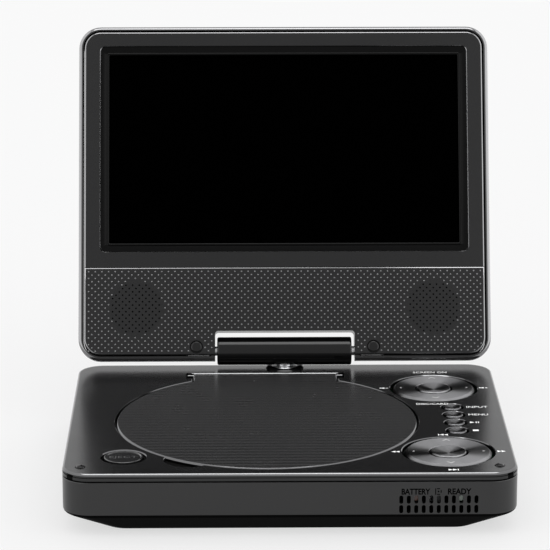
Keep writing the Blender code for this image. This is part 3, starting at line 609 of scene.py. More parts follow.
def turned_metal_painted_sheen(name, colour, centre, roughness=0.44, painted_sheen_range=(0.12, 0.62)):
    """Metal turned on a lathe: rings round a centre that spread light across them.

    The base colour carries a painted sheen: lighter in front of and behind the centre, and
    darker towards the left and the right.
    """
    material, tree, shader = new_finish(name, colour, roughness, Metallic=1.0,
                                        Anisotropic=0.97)
    place = object_place(tree, location=(-centre.x * MM, -centre.y * MM, 0))
    flat = node(tree, "ShaderNodeVectorMath", place, (1, 1, 0), operation="MULTIPLY")
    radius = node(tree, "ShaderNodeVectorMath", flat.outputs[0], operation="LENGTH")
    rings = noise(tree, node(tree, "ShaderNodeCombineXYZ", radius.outputs["Value"])
                  .outputs[0], 9000.0, 2.0)
    outward = node(tree, "ShaderNodeVectorMath", flat.outputs[0], operation="NORMALIZE")
    lean = node(tree, "ShaderNodeSeparateXYZ", outward.outputs[0])
    upright = math_node(tree, "ABSOLUTE", lean.outputs[1])
    # painted sheen: the colour follows the angle round the centre, as the turned rings'
    # reflection does
    painted_sheen_wedge = tree.nodes.new("ShaderNodeMapRange")
    painted_sheen_wedge.interpolation_type = "SMOOTHSTEP"
    tree.links.new(upright, painted_sheen_wedge.inputs["Value"])
    for label, value in zip(("From Min", "From Max", "To Min"), (*painted_sheen_range, 0.1)):
        painted_sheen_wedge.inputs[label].default_value = value
    pattern = math_node(tree, "MULTIPLY", painted_sheen_wedge.outputs["Result"],
                        shade_range(tree, rings, 0.6, 1.0))
    tint_variation(tree, shader, colour, pattern, 0.95)
    tree.links.new(outward.outputs[0], shader.inputs["Tangent"])
    add_bump(tree, shader, rings, 0.000008)
    return material


def plain_finish(name, colour, roughness, **shader_values):
    """Smooth material whose roughness varies a little, as on handled parts."""
    material, tree, shader = new_finish(name, colour, roughness, **shader_values)
    spread = roughness * 0.2
    tree.links.new(shade_range(tree, noise(tree, object_place(tree), 220.0), roughness -
                               spread, roughness + spread), shader.inputs["Roughness"])
    return material


FINISHES = {}


def make_finishes(colours):
    shell, bezel, gloss = colours.shell, colours.bezel, colours.gloss
    case = [level * 0.78 for level in shell]
    FINISHES.update({
        "shell": moulded_plastic("satin_shell", shell, 0.21, 2600.0, 0.000007,
                                 Specular_IOR_Level=0.45),
        "lid_shell": moulded_plastic("satin_lid", case, 0.26, 2600.0, 0.00001,
                                     Specular_IOR_Level=0.4),
        # edge: a metallic grey on rounded edges and chamfers of the black plastic, a
        # painted highlight
        "edge": plain_finish("edge_painted_highlight", (0.19, 0.19, 0.193), 0.14, Metallic=1.0),
        # gap: near black and almost without reflection, a painted shade for the walls of
        # holes and gaps
        "gap": plain_finish("gap_painted_shade", (0.0008, 0.0008, 0.0008), 0.6,
                            Specular_IOR_Level=0.04),
        "case": moulded_plastic("satin_case", case, 0.30, 2200.0, 0.000015),
        # underside: matte, and blacker than the case as a painted shade
        "downward_painted_shade": moulded_plastic("matte_underside_painted_shade", (0.001, 0.001, 0.001), 0.6, 1500.0,
                               0.00003, Specular_IOR_Level=0.02),
        "bezel": moulded_plastic("bezel_plastic", bezel, 0.26, 2400.0, 0.000012,
                                 Specular_IOR_Level=0.3),
        # dots: lighter than the bezel they stand on, a painted glint
        "dots": plain_finish("raised_dots_painted_glint", (0.11, 0.11, 0.112), 0.26),
        # raised word: lighter than the key, a painted highlight on the embossed letters
        "raised_word_painted_highlight": plain_finish("raised_word_painted_highlight", (0.045, 0.045, 0.046), 0.28),
        # surround: near black with little reflection, a painted shade in the display's
        # frame
        "surround": plain_finish("display_surround_painted_shade", (0.0008, 0.0008, 0.0008), 0.16,
                                 Specular_IOR_Level=0.08),
        "gloss": plain_finish("polished_black", gloss, 0.11, Specular_IOR_Level=0.27),
        "bumper": plain_finish("bumper_rubber", (0.0006, 0.0006, 0.0006), 0.16,
                               Specular_IOR_Level=0.18),
        "door": ribbed_plastic("door_lines", (0.0230, 0.0230, 0.0234), 0.26, 3.8),
        "display": plain_finish("display_surface", (0.0001, 0.0001, 0.0001), 0.4,
                                Specular_IOR_Level=0.0),
        "print": plain_finish("white_print", colours.print_white, 0.5),
        "mark": plain_finish("ring_marks", (0.34, 0.34, 0.34), 0.5),
        "dark_print": plain_finish("dark_print", (0.0004, 0.0004, 0.0004), 0.6,
                                   Specular_IOR_Level=0.0),
        "matte": moulded_plastic("matte_plastic", (0.010, 0.010, 0.011), 0.55, 1800.0,
                                 0.00003),
        "rubber": moulded_plastic("soft_rubber", (0.008, 0.008, 0.008), 0.72, 900.0,
                                  0.00005),
        "steel": plain_finish("bright_steel", (0.55, 0.55, 0.56), 0.28, Metallic=1.0),
        "motor": plain_finish("plated_can", (0.42, 0.42, 0.44), 0.34, Metallic=1.0),
        "board": moulded_plastic("circuit_board", (0.015, 0.09, 0.04), 0.45, 400.0,
                                 0.00005),
        "battery": plain_finish("battery_wrap", (0.03, 0.06, 0.16), 0.35),
        "lens": plain_finish("coated_lens", (0.05, 0.06, 0.14), 0.05, Coat_Weight=1.0),
        "red": plain_finish("red_lamp", (0.10, 0.035, 0.02), 0.12),
        "green": plain_finish("green_lamp", (0.32, 0.38, 0.33), 0.12),
        "cone": moulded_plastic("speaker_paper", (0.02, 0.02, 0.022), 0.8, 700.0, 0.0001),
    })
    # turned metal with a painted sheen, lighter in front of and behind each centre and
    # darker at the sides
    for side, centre in RINGS.items():
        FINISHES[f"{side}_metal"] = turned_metal_painted_sheen(f"{side}_turned_metal", colours.metal,
                                                 centre)
        FINISHES[f"{side}_select_metal"] = turned_metal_painted_sheen(
            f"{side}_select_turned_metal", colours.metal, centre, 0.3, (0.35, 0.9))
    dark_metal = [level * 0.6 for level in colours.metal]
    for number, centre in enumerate(KEYS, start=1):
        FINISHES[f"key_{number}_metal"] = turned_metal_painted_sheen(
            f"key_{number}_turned_metal", dark_metal, centre, 0.25, (0.35, 0.95))


SLOT_FINISH = {"satin_black": "shell", "matte_black": "matte", "gloss_black": "gloss",
               "display": "display", "steel": "steel", "motor_steel": "motor",
               "rubber": "rubber", "board_green": "board", "battery_wrap": "battery",
               "lens_glass": "lens", "led_red": "red", "led_green": "green",
               "speaker_cone": "cone", "key_metal": "upper_metal"}


# ---- base ----------------------------------------------------------------------------
def base_outline(side, front, back, radius):
    return rounded_rect(-HALF_W + side, HALF_W - side, FRONT + front, BACK - back, radius)


def inner_outline():
    return base_outline(WALL, WALL, WALL, CORNER_R - WALL)


def case_sections():
    """Outer sections of the lower case: flat underside, sloped walls, upright walls."""
    bottom, top = CASE_LOW.z, SEAM_BOTTOM
    profile = fillet_path(((SLOPE_SIDE + 3, bottom), (SLOPE_SIDE, bottom), (0, SLOPE_TOP),
                           (0, top), (0.8, top)), (1.4, 1.6, 0.3), 4)
    sections = []
    for inset, z in profile[1:]:
        share = inset / SLOPE_SIDE if z < SLOPE_TOP + 2 else 0.0
        extra = 0.0 if z < SLOPE_TOP + 2 else inset
        side, end = SLOPE_SIDE * share + extra, SLOPE_END * share + extra
        sections.append((base_outline(side, end, end, CORNER_R - 4 * share - extra), z))
    return sections


def lower_case(sizes):
    case = mesh_object("lower_case", loft(case_sections()))
    bottom = CASE_LOW.z
    cut(case, loft((
        (base_outline(SLOPE_SIDE + 0.5, SLOPE_END + 1, SLOPE_END + 1, 7.5), bottom + WALL),
        (inner_outline(), SLOPE_TOP + 1.4),
        (inner_outline(), SEAM_BOTTOM + 1))))
    cut(case, front_vent_tool(sizes))
    cut(case, merged(side_port_tools()))
    foot_r, head_r, shank_r = 5.3, 3.0, 1.5
    for number in range(1, 5):
        foot, screw = middle(f"foot_{number}"), middle(f"case_screw_{number}")
        cut(case, rod(foot, foot_r, bottom - 1, bottom + 0.8))
        cut(case, turned(screw, ((head_r + 0.4, bottom - 1), (head_r, bottom + 0.3),
                                 (head_r, bottom + 1.2)), steps=48))
        cut(case, rod(screw, shank_r, bottom - 1, bottom + 4, steps=32))
    cut(case, underside_vent_tool())
    # a shallow place for a rating plate
    plate = rounded_rect(-34, 34, FRONT + 46, FRONT + 76, 2.5)
    cut(case, loft(((plate, bottom - 1), (plate, bottom + 0.25))))
    # the faces that look down take the painted underside shade
    return publish(case, "base", FINISHES["case"], ["base_bottom_shell"],
                   others=(("downward_painted_shade", lambda centre, normal: -0.9 < normal.z < -0.15),))


VENT_X0, VENT_DROPS = 47.1, (11.9, 16.2)    # first slot, and each row below the deck


def front_vent_tool(sizes):
    """Two rows of slots through the front wall, at the right."""
    rows = VENT_DROPS[1] - VENT_DROPS[0]
    tool = run_tree("vent_slots", slot_grid_tree(), **{
        "Columns": sizes.vent_columns, "Rows": 2, "Pitch Across": sizes.vent_pitch,
        "Pitch Up": rows, "Depth": WALL + 4})
    centre_x = VENT_X0 + sizes.vent_pitch * (sizes.vent_columns - 1) / 2
    centre_z = DECK - sum(VENT_DROPS) / 2
    place = Matrix.Translation((centre_x, FRONT + WALL + 2, centre_z))
    tool.data.transform(place @ UPRIGHT)
    return tool


def underside_vent_tool():
    tool = run_tree("underside_slots", slot_grid_tree(), **{
        "Columns": 9, "Rows": 2, "Pitch Across": 5.0, "Pitch Up": 16.0, "Width": 1.8,
        "Height": 12.0, "Depth": WALL + 4})
    tool.data.transform(Matrix.Translation((0, BACK - 52, CASE_LOW.z - 2)))
    return tool


def side_port_tools():
    """Openings in the right wall, a little larger than the ports behind them."""
    wall = (HALF_W - WALL - 1, HALF_W + 1)
    tools = []
    for name, radius in (("power_jack", 4.1), ("headphone_jack", 3.3), ("av_jack", 3.3)):
        centre = middle(name)
        flare = ((radius, wall[0]), (radius, HALF_W - 0.4), (radius + 0.9, HALF_W + 0.5))
        tools.append(turned((centre.y, centre.z), flare, "X", steps=48))
    margin = 0.3
    for name in ("usb_port", "card_slot"):
        low, high = node_box(name)
        tools.append(box(*wall, low.y - margin, high.y + margin, low.z - margin,
                         high.z + margin))
    along, up, half_long, half_high = FRONT + 38.0, middle("av_jack").z, 6.3, 2.1
    tools.append(box(*wall, along - half_long, along + half_long, up - half_high,
                     up + half_high))
    return tools


def cover_sections(edge):
    """Outer sections of the deck cover, with a fine groove under its rounded rim."""
    drop, back_run = 3.0, 5.0
    rim = DECK - edge
    profile = [(0.5, SEAM_TOP), (0.0, SEAM_TOP + 0.4), (0.0, rim - 0.75), (0.4, rim - 0.6),
               (0.4, rim - 0.25), (0.0, rim - 0.1)]
    profile += [(inset, rim + rise) for inset, rise in quarter_round(edge, 6)]
    sections = []
    for inset, z in profile:
        rise = max(0.0, (z - (DECK - drop)) / drop)
        back = back_run * (1 - math.sqrt(max(0.0, 1 - rise * rise)))
        sections.append((base_outline(inset, inset, max(inset, back), CORNER_R - inset), z))
    return sections


def flared_hole(centre, radius, flare, steps=96):
    """Cutter for a round hole in the deck with a chamfered rim."""
    return turned(centre, ((radius, DECK - 5), (radius, DECK - flare),
                           (radius + flare * 2, DECK + flare)), steps=steps)


def door_outline(gap, back):
    """Disc door from above: a circle with a straight-sided tongue at the back."""
    radius = DOOR_R + gap
    left, right = TONGUE[0] - gap, TONGUE[1] + gap
    start = math.acos((right - DISC.x) / radius)
    end = math.acos((left - DISC.x) / radius) - math.tau
    steps = 160
    points = []
    for k in range(steps + 1):
        angle = start + (end - start) * k / steps
        points.append((DISC.x + radius * math.cos(angle),
                       DISC.y + radius * math.sin(angle)))
    return points + [(left, back), (right, back)]


def is_within_deck(centre):
    """True inside the rounded rim of the deck."""
    return abs(centre.x) < HALF_W - 2.5 and FRONT + 2.5 < centre.y < BACK - 6


def is_deck_gap_painted_shade(centre, normal):
    """Walls and floors of the holes in the deck, which take a near-black painted shade."""
    return is_within_deck(centre) and (normal.z < 0.3 or centre.z < DECK - 1.0)


def is_deck_edge(centre, normal):
    return 0.3 < normal.z < 0.97 and (is_within_deck(centre) or centre.z > DECK - 1.5)


def deck_cover(sizes):
    cover = mesh_object("deck_cover", loft(cover_sections(sizes.edge_round)))
    inner = inner_outline()
    cut(cover, loft(((inner, SEAM_TOP - 1), (inner, DECK - WALL))))
    back = DOOR_HINGE.y + 1.4
    cut(cover, loft(((door_outline(0.45, back), DECK - 5),
                     (door_outline(0.45, back), DECK - 0.35),
                     (door_outline(1.15, back + 0.7), DECK + 0.35))))
    notch = (*NOTCH_Y, DECK - 5, DECK + 1)
    cut(cover, merged((box(TONGUE[0] - 3.3, TONGUE[0] + 0.2, *notch),
                       box(TONGUE[1] - 0.2, TONGUE[1] + 3.3, *notch))))
    holes = [flared_hole(centre, RING_HOLE_R, 0.35) for centre in RINGS.values()]
    holes += [flared_hole(centre, KEY_HOLE_R, 0.25, 48) for centre in KEYS]
    holes.append(turned(OPEN, ((OPEN_HOLE_R, DECK - 5), (OPEN_HOLE_R, DECK - 1.2),
                               (OPEN_DISH_R - 0.4, DECK - 1.1),
                               (OPEN_DISH_R - 0.3, DECK - 0.4),
                               (OPEN_DISH_R + 0.5, DECK + 0.4))))
    cut(cover, merged(holes))
    cut(cover, rod(SWIVEL, NECK_R + 0.4, DECK - 5, DECK + 1, steps=48))
    for side in ("left", "right"):
        rest = middle(f"lid_bumper_{side}")
        cut(cover, rod(rest, REST_R + 0.3, DECK - 1.3, DECK + 0.2, steps=40))
    # the finger scoop at the door's edge
    scoop = (DISC.x - 34.5, DISC.y - 54.5)
    cut(cover, turned(scoop, ((10.2, DECK - 1.7), (10.4, DECK - 0.3), (11.1, DECK + 0.4)),
                      steps=72))
    # hole walls take the painted gap shade, and chamfers and the rim the painted edge
    # highlight
    return publish(cover, "base", FINISHES["shell"], ["base_top_cover"],
                   others=(("gap", is_deck_gap_painted_shade), ("edge", is_deck_edge)))


def base_fittings():
    """Pedestal under the hinge, and the two rubber domes under the closed lid."""
    bore, rim, top = COLLAR_R + 0.4, PEDESTAL_R, DECK + 1.0
    pedestal = mesh_object("hinge_pedestal", turned(SWIVEL, (
        (bore, DECK + 0.1), (bore, top - 0.15), (bore + 0.15, top), (rim - 1.1, top),
        (rim - 0.7, top - 0.15), (rim, DECK + 0.35), (rim, DECK + 0.1)), closed=True,
        steps=72))
    cut(pedestal, box(-12, 12, SWIVEL.y + 2.0, SWIVEL.y + 15, DECK - 1, DECK + 3))
    publish(pedestal, "base", FINISHES["gloss"], ["swivel_pedestal"])
    for side in ("left", "right"):
        centre = middle(f"lid_bumper_{side}")
        dome = [(REST_R * math.cos(math.radians(a)), DECK - 0.05 + 0.9 *
                 math.sin(math.radians(a))) for a in (0, 20, 40, 60, 75, 85)]
        piece(f"lid_rest_{side}", turned(centre, [(REST_R, DECK - 0.9)] + dome, steps=32),
              "base", FINISHES["bumper"], [f"lid_bumper_{side}"])


# ---- disc door and keys --------------------------------------------------------------
def disc_door(sizes):
    edge = sizes.door_edge
    hinge = DOOR_HINGE.y
    sections = [(door_outline(0.0, hinge), DOOR_BOTTOM)]
    for inset, drop in ((0.0, edge), (0.04, edge * 0.88), (edge * 0.88, 0.04), (edge, 0.0)):
        sections.append((door_outline(-inset, hinge), DECK - drop))
    door = mesh_object("door_panel", loft(sections))
    cut(door, turned(DISC, ((60.5, DOOR_BOTTOM - 1), (60.5, DOOR_BOTTOM + 0.3),
                            (60.0, DOOR_BOTTOM + 0.5)), steps=120))
    rear = (hinge, DOOR_HINGE.z)
    join(door, turned(rear, ((0.8, TONGUE[0] + 0.4), (0.85, TONGUE[0] + 0.6),
                             (0.85, TONGUE[1] - 0.6), (0.8, TONGUE[1] - 0.4)), "X",
                      steps=24))
    join(door, rod(rear, 0.6, TONGUE[0] - 2.6, TONGUE[1] + 2.6, "X", steps=16))
    # the catch hangs from the door's rim, towards the release key
    turn = math.atan2(OPEN.y - DISC.y, OPEN.x - DISC.x)
    catch = box(64.0, 66.0, -3.0, 3.0, DOOR_LOW.z, DOOR_BOTTOM + 0.3)
    catch.transform(Matrix.Translation((DISC.x, DISC.y, 0)) @ Matrix.Rotation(turn, 4, "Z"))
    join(door, catch)
    # the chamfer takes the painted edge highlight, and the upright sides the painted gap
    # shade
    return publish(door, "disc_door", FINISHES["door"], ["disc_door"],
                   others=(("edge", lambda centre, normal: 0.2 < normal.z < 0.97),
                           ("gap", lambda centre, normal: abs(normal.z) <= 0.2),
                           ("case", lambda centre, normal: normal.z < 0)))


def dished_button(centre, radius, depth, bottom):
    """Key cap with a chamfered rim and a shallow round hollow."""
    top = KEY_TOP
    profile = [(radius, bottom), (radius, top - 0.55), (radius - 0.12, top - 0.3),
               (radius - 0.55, top)]
    hollow = radius - 0.75
    for k in range(1, 9):
        share = 1 - k / 9
        profile.append((hollow * share, top - depth * (1 - share * share)))
    return turned(centre, profile)


def ring_body(centre, depth):
    """Rocking ring: chamfered outside, gently hollow on top, with a bore."""
    out, bore, top, low = RING_R, RING_BORE_R, KEY_TOP, node_box("upper_ring")[0].z
    profile = [(bore, low), (out, low), (out, top - 1.0), (out - 0.15, top - 0.75),
               (out - 0.95, top - 0.05), (out - 1.15, top)]
    for k in range(1, 8):
        share = k / 8
        radius = out - 1.15 - (out - bore - 1.75) * share
        profile.append((radius, top - depth * math.sin(math.pi * share * 0.5)))
    profile += [(bore + 0.25, top - depth - 0.05), (bore, top - depth - 0.35)]
    return turned(centre, profile, closed=True)


def flat_shape(points, z0):
    return loft(((points, z0), (points, z0 + PRINT_DEPTH)))


def chevron(x, y, size, turn, z):
    """Small open arrowhead, pointing along its turn."""
    arm, wide = size, size * 0.32
    shape = ((-arm, -arm * 0.5), (-arm + wide, -arm * 0.5 - wide * 0.6), (0, 0.18 * arm),
             (arm - wide, -arm * 0.5 - wide * 0.6), (arm, -arm * 0.5), (0, 0.62 * arm))
    c, s = math.cos(turn), math.sin(turn)
    return flat_shape([(x + c * u - s * v, y + s * u + c * v) for u, v in shape], z)


def navigation_keys(sizes):
    for side, centre in RINGS.items():
        metal = FINISHES[f"{side}_metal"]
        piece(f"{side}_rocking_ring", ring_body(centre, sizes.dish_depth), f"{side}_ring",
              metal, [f"{side}_ring"])
        cap = mesh_object(f"{side}_select_key",
                          dished_button(centre, SELECT_R, 0.9, DECK - 2.6))
        publish(cap, f"{side}_select", FINISHES[f"{side}_select_metal"],
                [f"{side}_select_button"])
        reach = (RING_R + RING_BORE_R) / 2 + 1.6
        z = KEY_TOP - sizes.dish_depth * 0.27
        marks = [chevron(centre.x, centre.y + reach, 1.8, 0.0, z),
                 chevron(centre.x, centre.y - reach, 1.8, math.pi, z),
                 chevron(centre.x - reach, centre.y, 0.8, math.pi / 2, z),
                 chevron(centre.x + reach, centre.y, 0.8, -math.pi / 2, z)]
        piece(f"{side}_ring_marks", merged(marks), f"{side}_ring",
              FINISHES["mark"])
    for number, centre in enumerate(KEYS, start=1):
        piece(f"small_key_{number}", dished_button(centre, KEY_R, 0.75, DECK - 4),
              f"menu_key_{number}", FINISHES[f"key_{number}_metal"],
              [f"menu_key_{number}"])


def open_key():
    rim = KEY_TOP
    profile = [(OPEN_R, DECK - 3), (OPEN_R, rim - 0.25), (OPEN_R - 0.2, rim - 0.05),
               (OPEN_R - 0.4, rim), (OPEN_R - 0.6, rim - 0.05), (OPEN_R - 0.8, rim - 0.3),
               (OPEN_R - 0.9, rim - 0.45)]
    cap = mesh_object("door_release_key", turned(OPEN, profile))
    join(cap, rod(OPEN, 2.5, DECK - 4.1, DECK - 2.8, steps=40))
    publish(cap, "open_button", FINISHES["shell"], ["open_button"])
    label = word_mesh("EJECT", 12.0, 3.3, 0.22)
    label.transform(Matrix.Translation((OPEN.x, OPEN.y, rim - 0.5)))
    piece("door_release_word", label, "open_button",
          FINISHES["raised_word_painted_highlight"])


# ---- legends -------------------------------------------------------------------------
def word_mesh(words, width, height, thickness, boldness=0.0):
    """A generic word lying in x and y round the origin, stretched to a size."""
    curve = bpy.data.curves.new("word", "FONT")
    curve.body = words
    curve.align_x = "CENTER"
    curve.align_y = "CENTER"
    curve.extrude = 0.5
    curve.resolution_u = 3
    curve.offset = boldness
    obj = bpy.data.objects.new("word", curve)
    bpy.context.scene.collection.objects.link(obj)
    bpy.context.view_layer.update()
    graph = bpy.context.evaluated_depsgraph_get()
    data = bpy.data.meshes.new_from_object(obj.evaluated_get(graph))
    bpy.data.objects.remove(obj, do_unlink=True)
    bpy.data.curves.remove(curve)
    bm = bmesh.new()
    bm.from_mesh(data)
    bpy.data.meshes.remove(data)
    bmesh.ops.remove_doubles(bm, verts=bm.verts, dist=1e-5)
    low = Vector([min(v.co[k] for v in bm.verts) for k in range(3)])
    high = Vector([max(v.co[k] for v in bm.verts) for k in range(3)])
    size = high - low
    bm.transform(Matrix.Diagonal((width / size.x, height / size.y, thickness / size.z, 1)) @
                 Matrix.Translation(-(low + high) / 2))
    return bm


def triangle(x, y, size, direction):
    return ((x - direction * size * 0.5, y - size * 0.55),
            (x + direction * size * 0.5, y), (x - direction * size * 0.5, y + size * 0.55))


def bar(x, y, width, height):
    return ((x - width / 2, y - height / 2), (x + width / 2, y - height / 2),
            (x + width / 2, y + height / 2), (x - width / 2, y + height / 2))


def symbol(name, x, y):
    """Plain transport and level symbols, as flat outlines."""
    shapes = {
        "play_pause": [triangle(x - 1.3, y, 2.0, 1), bar(x + 0.5, y, 0.5, 2.0),
                       bar(x + 1.5, y, 0.5, 2.0)],
        "stop": [bar(x, y, 2.6, 1.9)],
        "skip_back": [bar(x - 2.0, y, 0.45, 2.0), triangle(x - 0.7, y, 1.9, -1),
                      triangle(x + 1.2, y, 1.9, -1)],
        "skip_on": [bar(x + 2.0, y, 0.45, 2.0), triangle(x + 0.7, y, 1.9, 1),
                    triangle(x - 1.2, y, 1.9, 1)],
        "wind_back": [triangle(x - 0.9, y, 1.8, -1), triangle(x + 0.9, y, 1.8, -1)],
        "wind_on": [triangle(x - 0.9, y, 1.8, 1), triangle(x + 0.9, y, 1.8, 1)],
        "level_down": [bar(x - 1.4, y, 0.9, 1.0), triangle(x - 0.5, y, 1.8, -1),
                       bar(x + 1.5, y, 1.2, 0.45)],
        "level_up": [bar(x - 1.4, y, 0.9, 1.0), triangle(x - 0.5, y, 1.8, -1),
                     bar(x + 1.5, y, 1.2, 0.45), bar(x + 1.5, y, 0.45, 1.4)],
    }
    return shapes[name]


def deck_legends():
    z = DECK + 0.01                    # middle of the print, just above the deck
    upper, lower = RINGS["upper"], RINGS["lower"]
    words = (("SCREEN ON", 15.8, upper.x - 0.3, upper.y + 24.6),
             ("DISC/CARD", 14.6, upper.x - 2.2, upper.y - 24.2),
             ("INPUT", 9.6, KEYS[0].x + 11.3, KEYS[0].y),
             ("MENU", 8.8, KEYS[1].x + 11.0, KEYS[1].y))
    meshes = []
    for text, width, x, y in words:
        word = word_mesh(text, width, 2.4, PRINT_DEPTH)
        word.transform(Matrix.Translation((x, y, z)))
        meshes.append(word)
    reach = RING_HOLE_R + 2.8
    places = (("play_pause", KEYS[2].x + 8.7, KEYS[2].y),
              ("stop", KEYS[3].x + 8.1, KEYS[3].y),
              ("skip_back", lower.x - 0.8, lower.y + reach),
              ("skip_on", lower.x + 0.5, lower.y - reach - 1.2),
              ("wind_back", lower.x - reach, lower.y),
              ("wind_on", lower.x + reach, lower.y),
              ("level_down", upper.x - reach - 0.2, upper.y),
              ("level_up", upper.x + reach - 0.2, upper.y))
    for name, x, y in places:
        meshes += [flat_shape(points, z - PRINT_DEPTH / 2) for points in symbol(name, x, y)]
    piece("deck_legends", merged(meshes), "base", FINISHES["print"])


def front_legends():
    """Dark words and a sensor mark above the vent, standing on the front wall."""
    meshes = []
    for text, width, x in (("BATTERY", 12.2, 53.3), ("READY", 10.0, 71.9)):
        word = word_mesh(text, width, 2.7, PRINT_DEPTH, boldness=0.03)
        word.transform(Matrix.Translation((x, 0, 0)))
        meshes.append(word)
    meshes += [flat_shape(points, -PRINT_DEPTH / 2) for points in (
        bar(61.7, 0, 0.4, 2.9), bar(62.9, 1.25, 1.4, 0.4), bar(62.9, -1.25, 1.4, 0.4),
        bar(64.0, 0, 0.4, 1.2), bar(62.9, 0, 0.7, 0.7))]
    legends = merged(meshes)
    legends.transform(Matrix.Translation((0, FRONT, DECK - 8.3)) @ UPRIGHT)
    piece("front_legends", legends, "base", FINISHES["dark_print"])


# ---- hinge ---------------------------------------------------------------------------
def hinge_head():
    low, high = node_box("barrel_cover_front")
    left, right, radius = low.x, high.x, (high.z - low.z) / 2
    axis = (SWIVEL.y, LID_PIVOT.z)
    ends = fillet_path(((0.5, left), (radius, left), (radius, right), (0.5, right)),
                       (0.9, 0.9), 5)
    for side, y0, y1 in (("front", -20.0, -0.12), ("rear", 0.12, 20.0)):
        cover = mesh_object(f"hinge_barrel_{side}", turned(
            axis, [tuple(point) for point in ends], "X", steps=96))
        cut(cover, rod(axis, 5.5, left + 1.5, right - 1.5, "X", steps=64))
        cut(cover, rod(axis, PIN_BORE_R, left - 5, right + 5, "X", steps=32))
        cut(cover, rod(SWIVEL, NECK_R + 0.3, DECK, LID_PIVOT.z, steps=48))
        combine(cover, box(-60, 60, SWIVEL.y + y0, SWIVEL.y + y1, DECK, DECK + 30),
                "INTERSECT")
        publish(cover, "swivel_head", FINISHES["gloss"],
                [f"barrel_cover_{side}"])
    neck = turned(SWIVEL, [(NECK_R, DECK - 9), (NECK_R, DECK + 0.3), (COLLAR_R, DECK + 0.3),
                           (COLLAR_R, DECK + 0.8), (COLLAR_R - 0.15, DECK + 0.95),
                           (NECK_R + 0.4, DECK + 0.95), (NECK_R, DECK + 1.2),
                           (NECK_R, LID_PIVOT.z - 5.3)], steps=64)
    core = mesh_object("hinge_neck", neck)
    join(core, turned(axis, ((4.9, -14), (5.1, -13.8), (5.1, 13.8), (4.9, 14)), "X",
                      steps=48))
    cut(core, rod(axis, PIN_BORE_R, -20, 20, "X", steps=32))
    publish(core, "swivel_head", FINISHES["steel"], ["hinge_core"])


# ---- lid -----------------------------------------------------------------------------
def lid_outline(inset, radius=None):
    """The lid's outline, moved inwards, with corners that keep their centres."""
    radius = LID_R - inset if radius is None else radius
    return rounded_rect(LID_LOW.x + inset, LID_HIGH.x - inset, LID_LOW.z + inset,
                        LID_HIGH.z - inset, radius)


def lid_piece(obj, finish, nodes=(), others=()):
    return publish(obj, "lid", FINISHES[finish], nodes, LID_FRAME, others=others)


def is_lid_inner_wall(centre, normal):
    """True for the walls round the lid's hollow, which face its centre."""
    up = centre.z - (LID_LOW.z + LID_HIGH.z) / 2
    outward = normal.x * centre.x + normal.z * up
    return outward < -INNER_WALL_REACH


def notch_box(margin, y0, y1, bottom=-3.0):
    return box(-LID_NOTCH_HALF - margin, LID_NOTCH_HALF + margin, y0, y1,
               LID_LOW.z + bottom, LID_NOTCH_TOP + margin)


def notch_outline(margin):
    """The hinge notch with round upper corners, open at the lid's lower edge."""
    half, top, radius = LID_NOTCH_HALF + margin, LID_NOTCH_TOP + margin, 1.6
    points = [(-half, LID_LOW.z - 3), (half, LID_LOW.z - 3)]
    for cx, start in ((half - radius, 0), (radius - half, 90)):
        for k in range(7):
            angle = math.radians(start + 15 * k)
            points.append((cx + radius * math.cos(angle),
                           top - radius + radius * math.sin(angle)))
    return points


def lid_shell():
    front, back = LID_LOW.y, LID_HIGH.y
    rim, round_back = 1.9, 7.0
    sections = []
    for sunk, out in quarter_round(rim, 5):
        sections.append((lid_outline(rim - out), front + sunk))
    for inset, rise in quarter_round(round_back, 7):
        sections.append((lid_outline(inset), back - round_back + rise))
    shell = mesh_object("lid_back_shell", loft(sections, "Y"))
    cavity = mesh_object("cavity", loft([(lid_outline(RIM_W), depth)
                                         for depth in (front - 1, back - WALL)], "Y"))
    cut(cavity, notch_box(WALL, front - 3, back + 1))
    cut(shell, cavity)
    cut(shell, loft([(notch_outline(0.0), depth) for depth in (front - 1, back + 1)], "Y"))
    cut(shell, notch_box(3.0, front - 1, front + 1.9, RIM_W))
    cut(shell, rod((0, 0), PIN_BORE_R, -40, 40, "X", steps=32))
    # the fine line round the flat of the lid's back
    panel = [(lid_outline(14.0, 6.0), back - 0.5), (lid_outline(13.5, 6.4), back + 0.5)]
    inner = [(lid_outline(14.8, 5.4), back - 0.8), (lid_outline(15.3, 5.1), back + 0.8)]
    groove = mesh_object("groove", loft(panel, "Y"))
    cut(groove, loft(inner, "Y"))
    cut(shell, groove)
    # the front rim takes the painted edge highlight, and the inner walls the painted gap
    # shade
    return lid_piece(shell, "lid_shell", ["lid_rear_shell"], (
        ("edge", lambda centre, normal: centre.y < front + rim and -0.97 < normal.y < -0.1),
        ("gap", is_lid_inner_wall)))


def window_outline(grow, radius):
    """The display's window, made larger all round by a distance."""
    half, low, high = WINDOW
    return rounded_rect(-half - grow, half + grow, low - grow, high + grow, radius, 6)


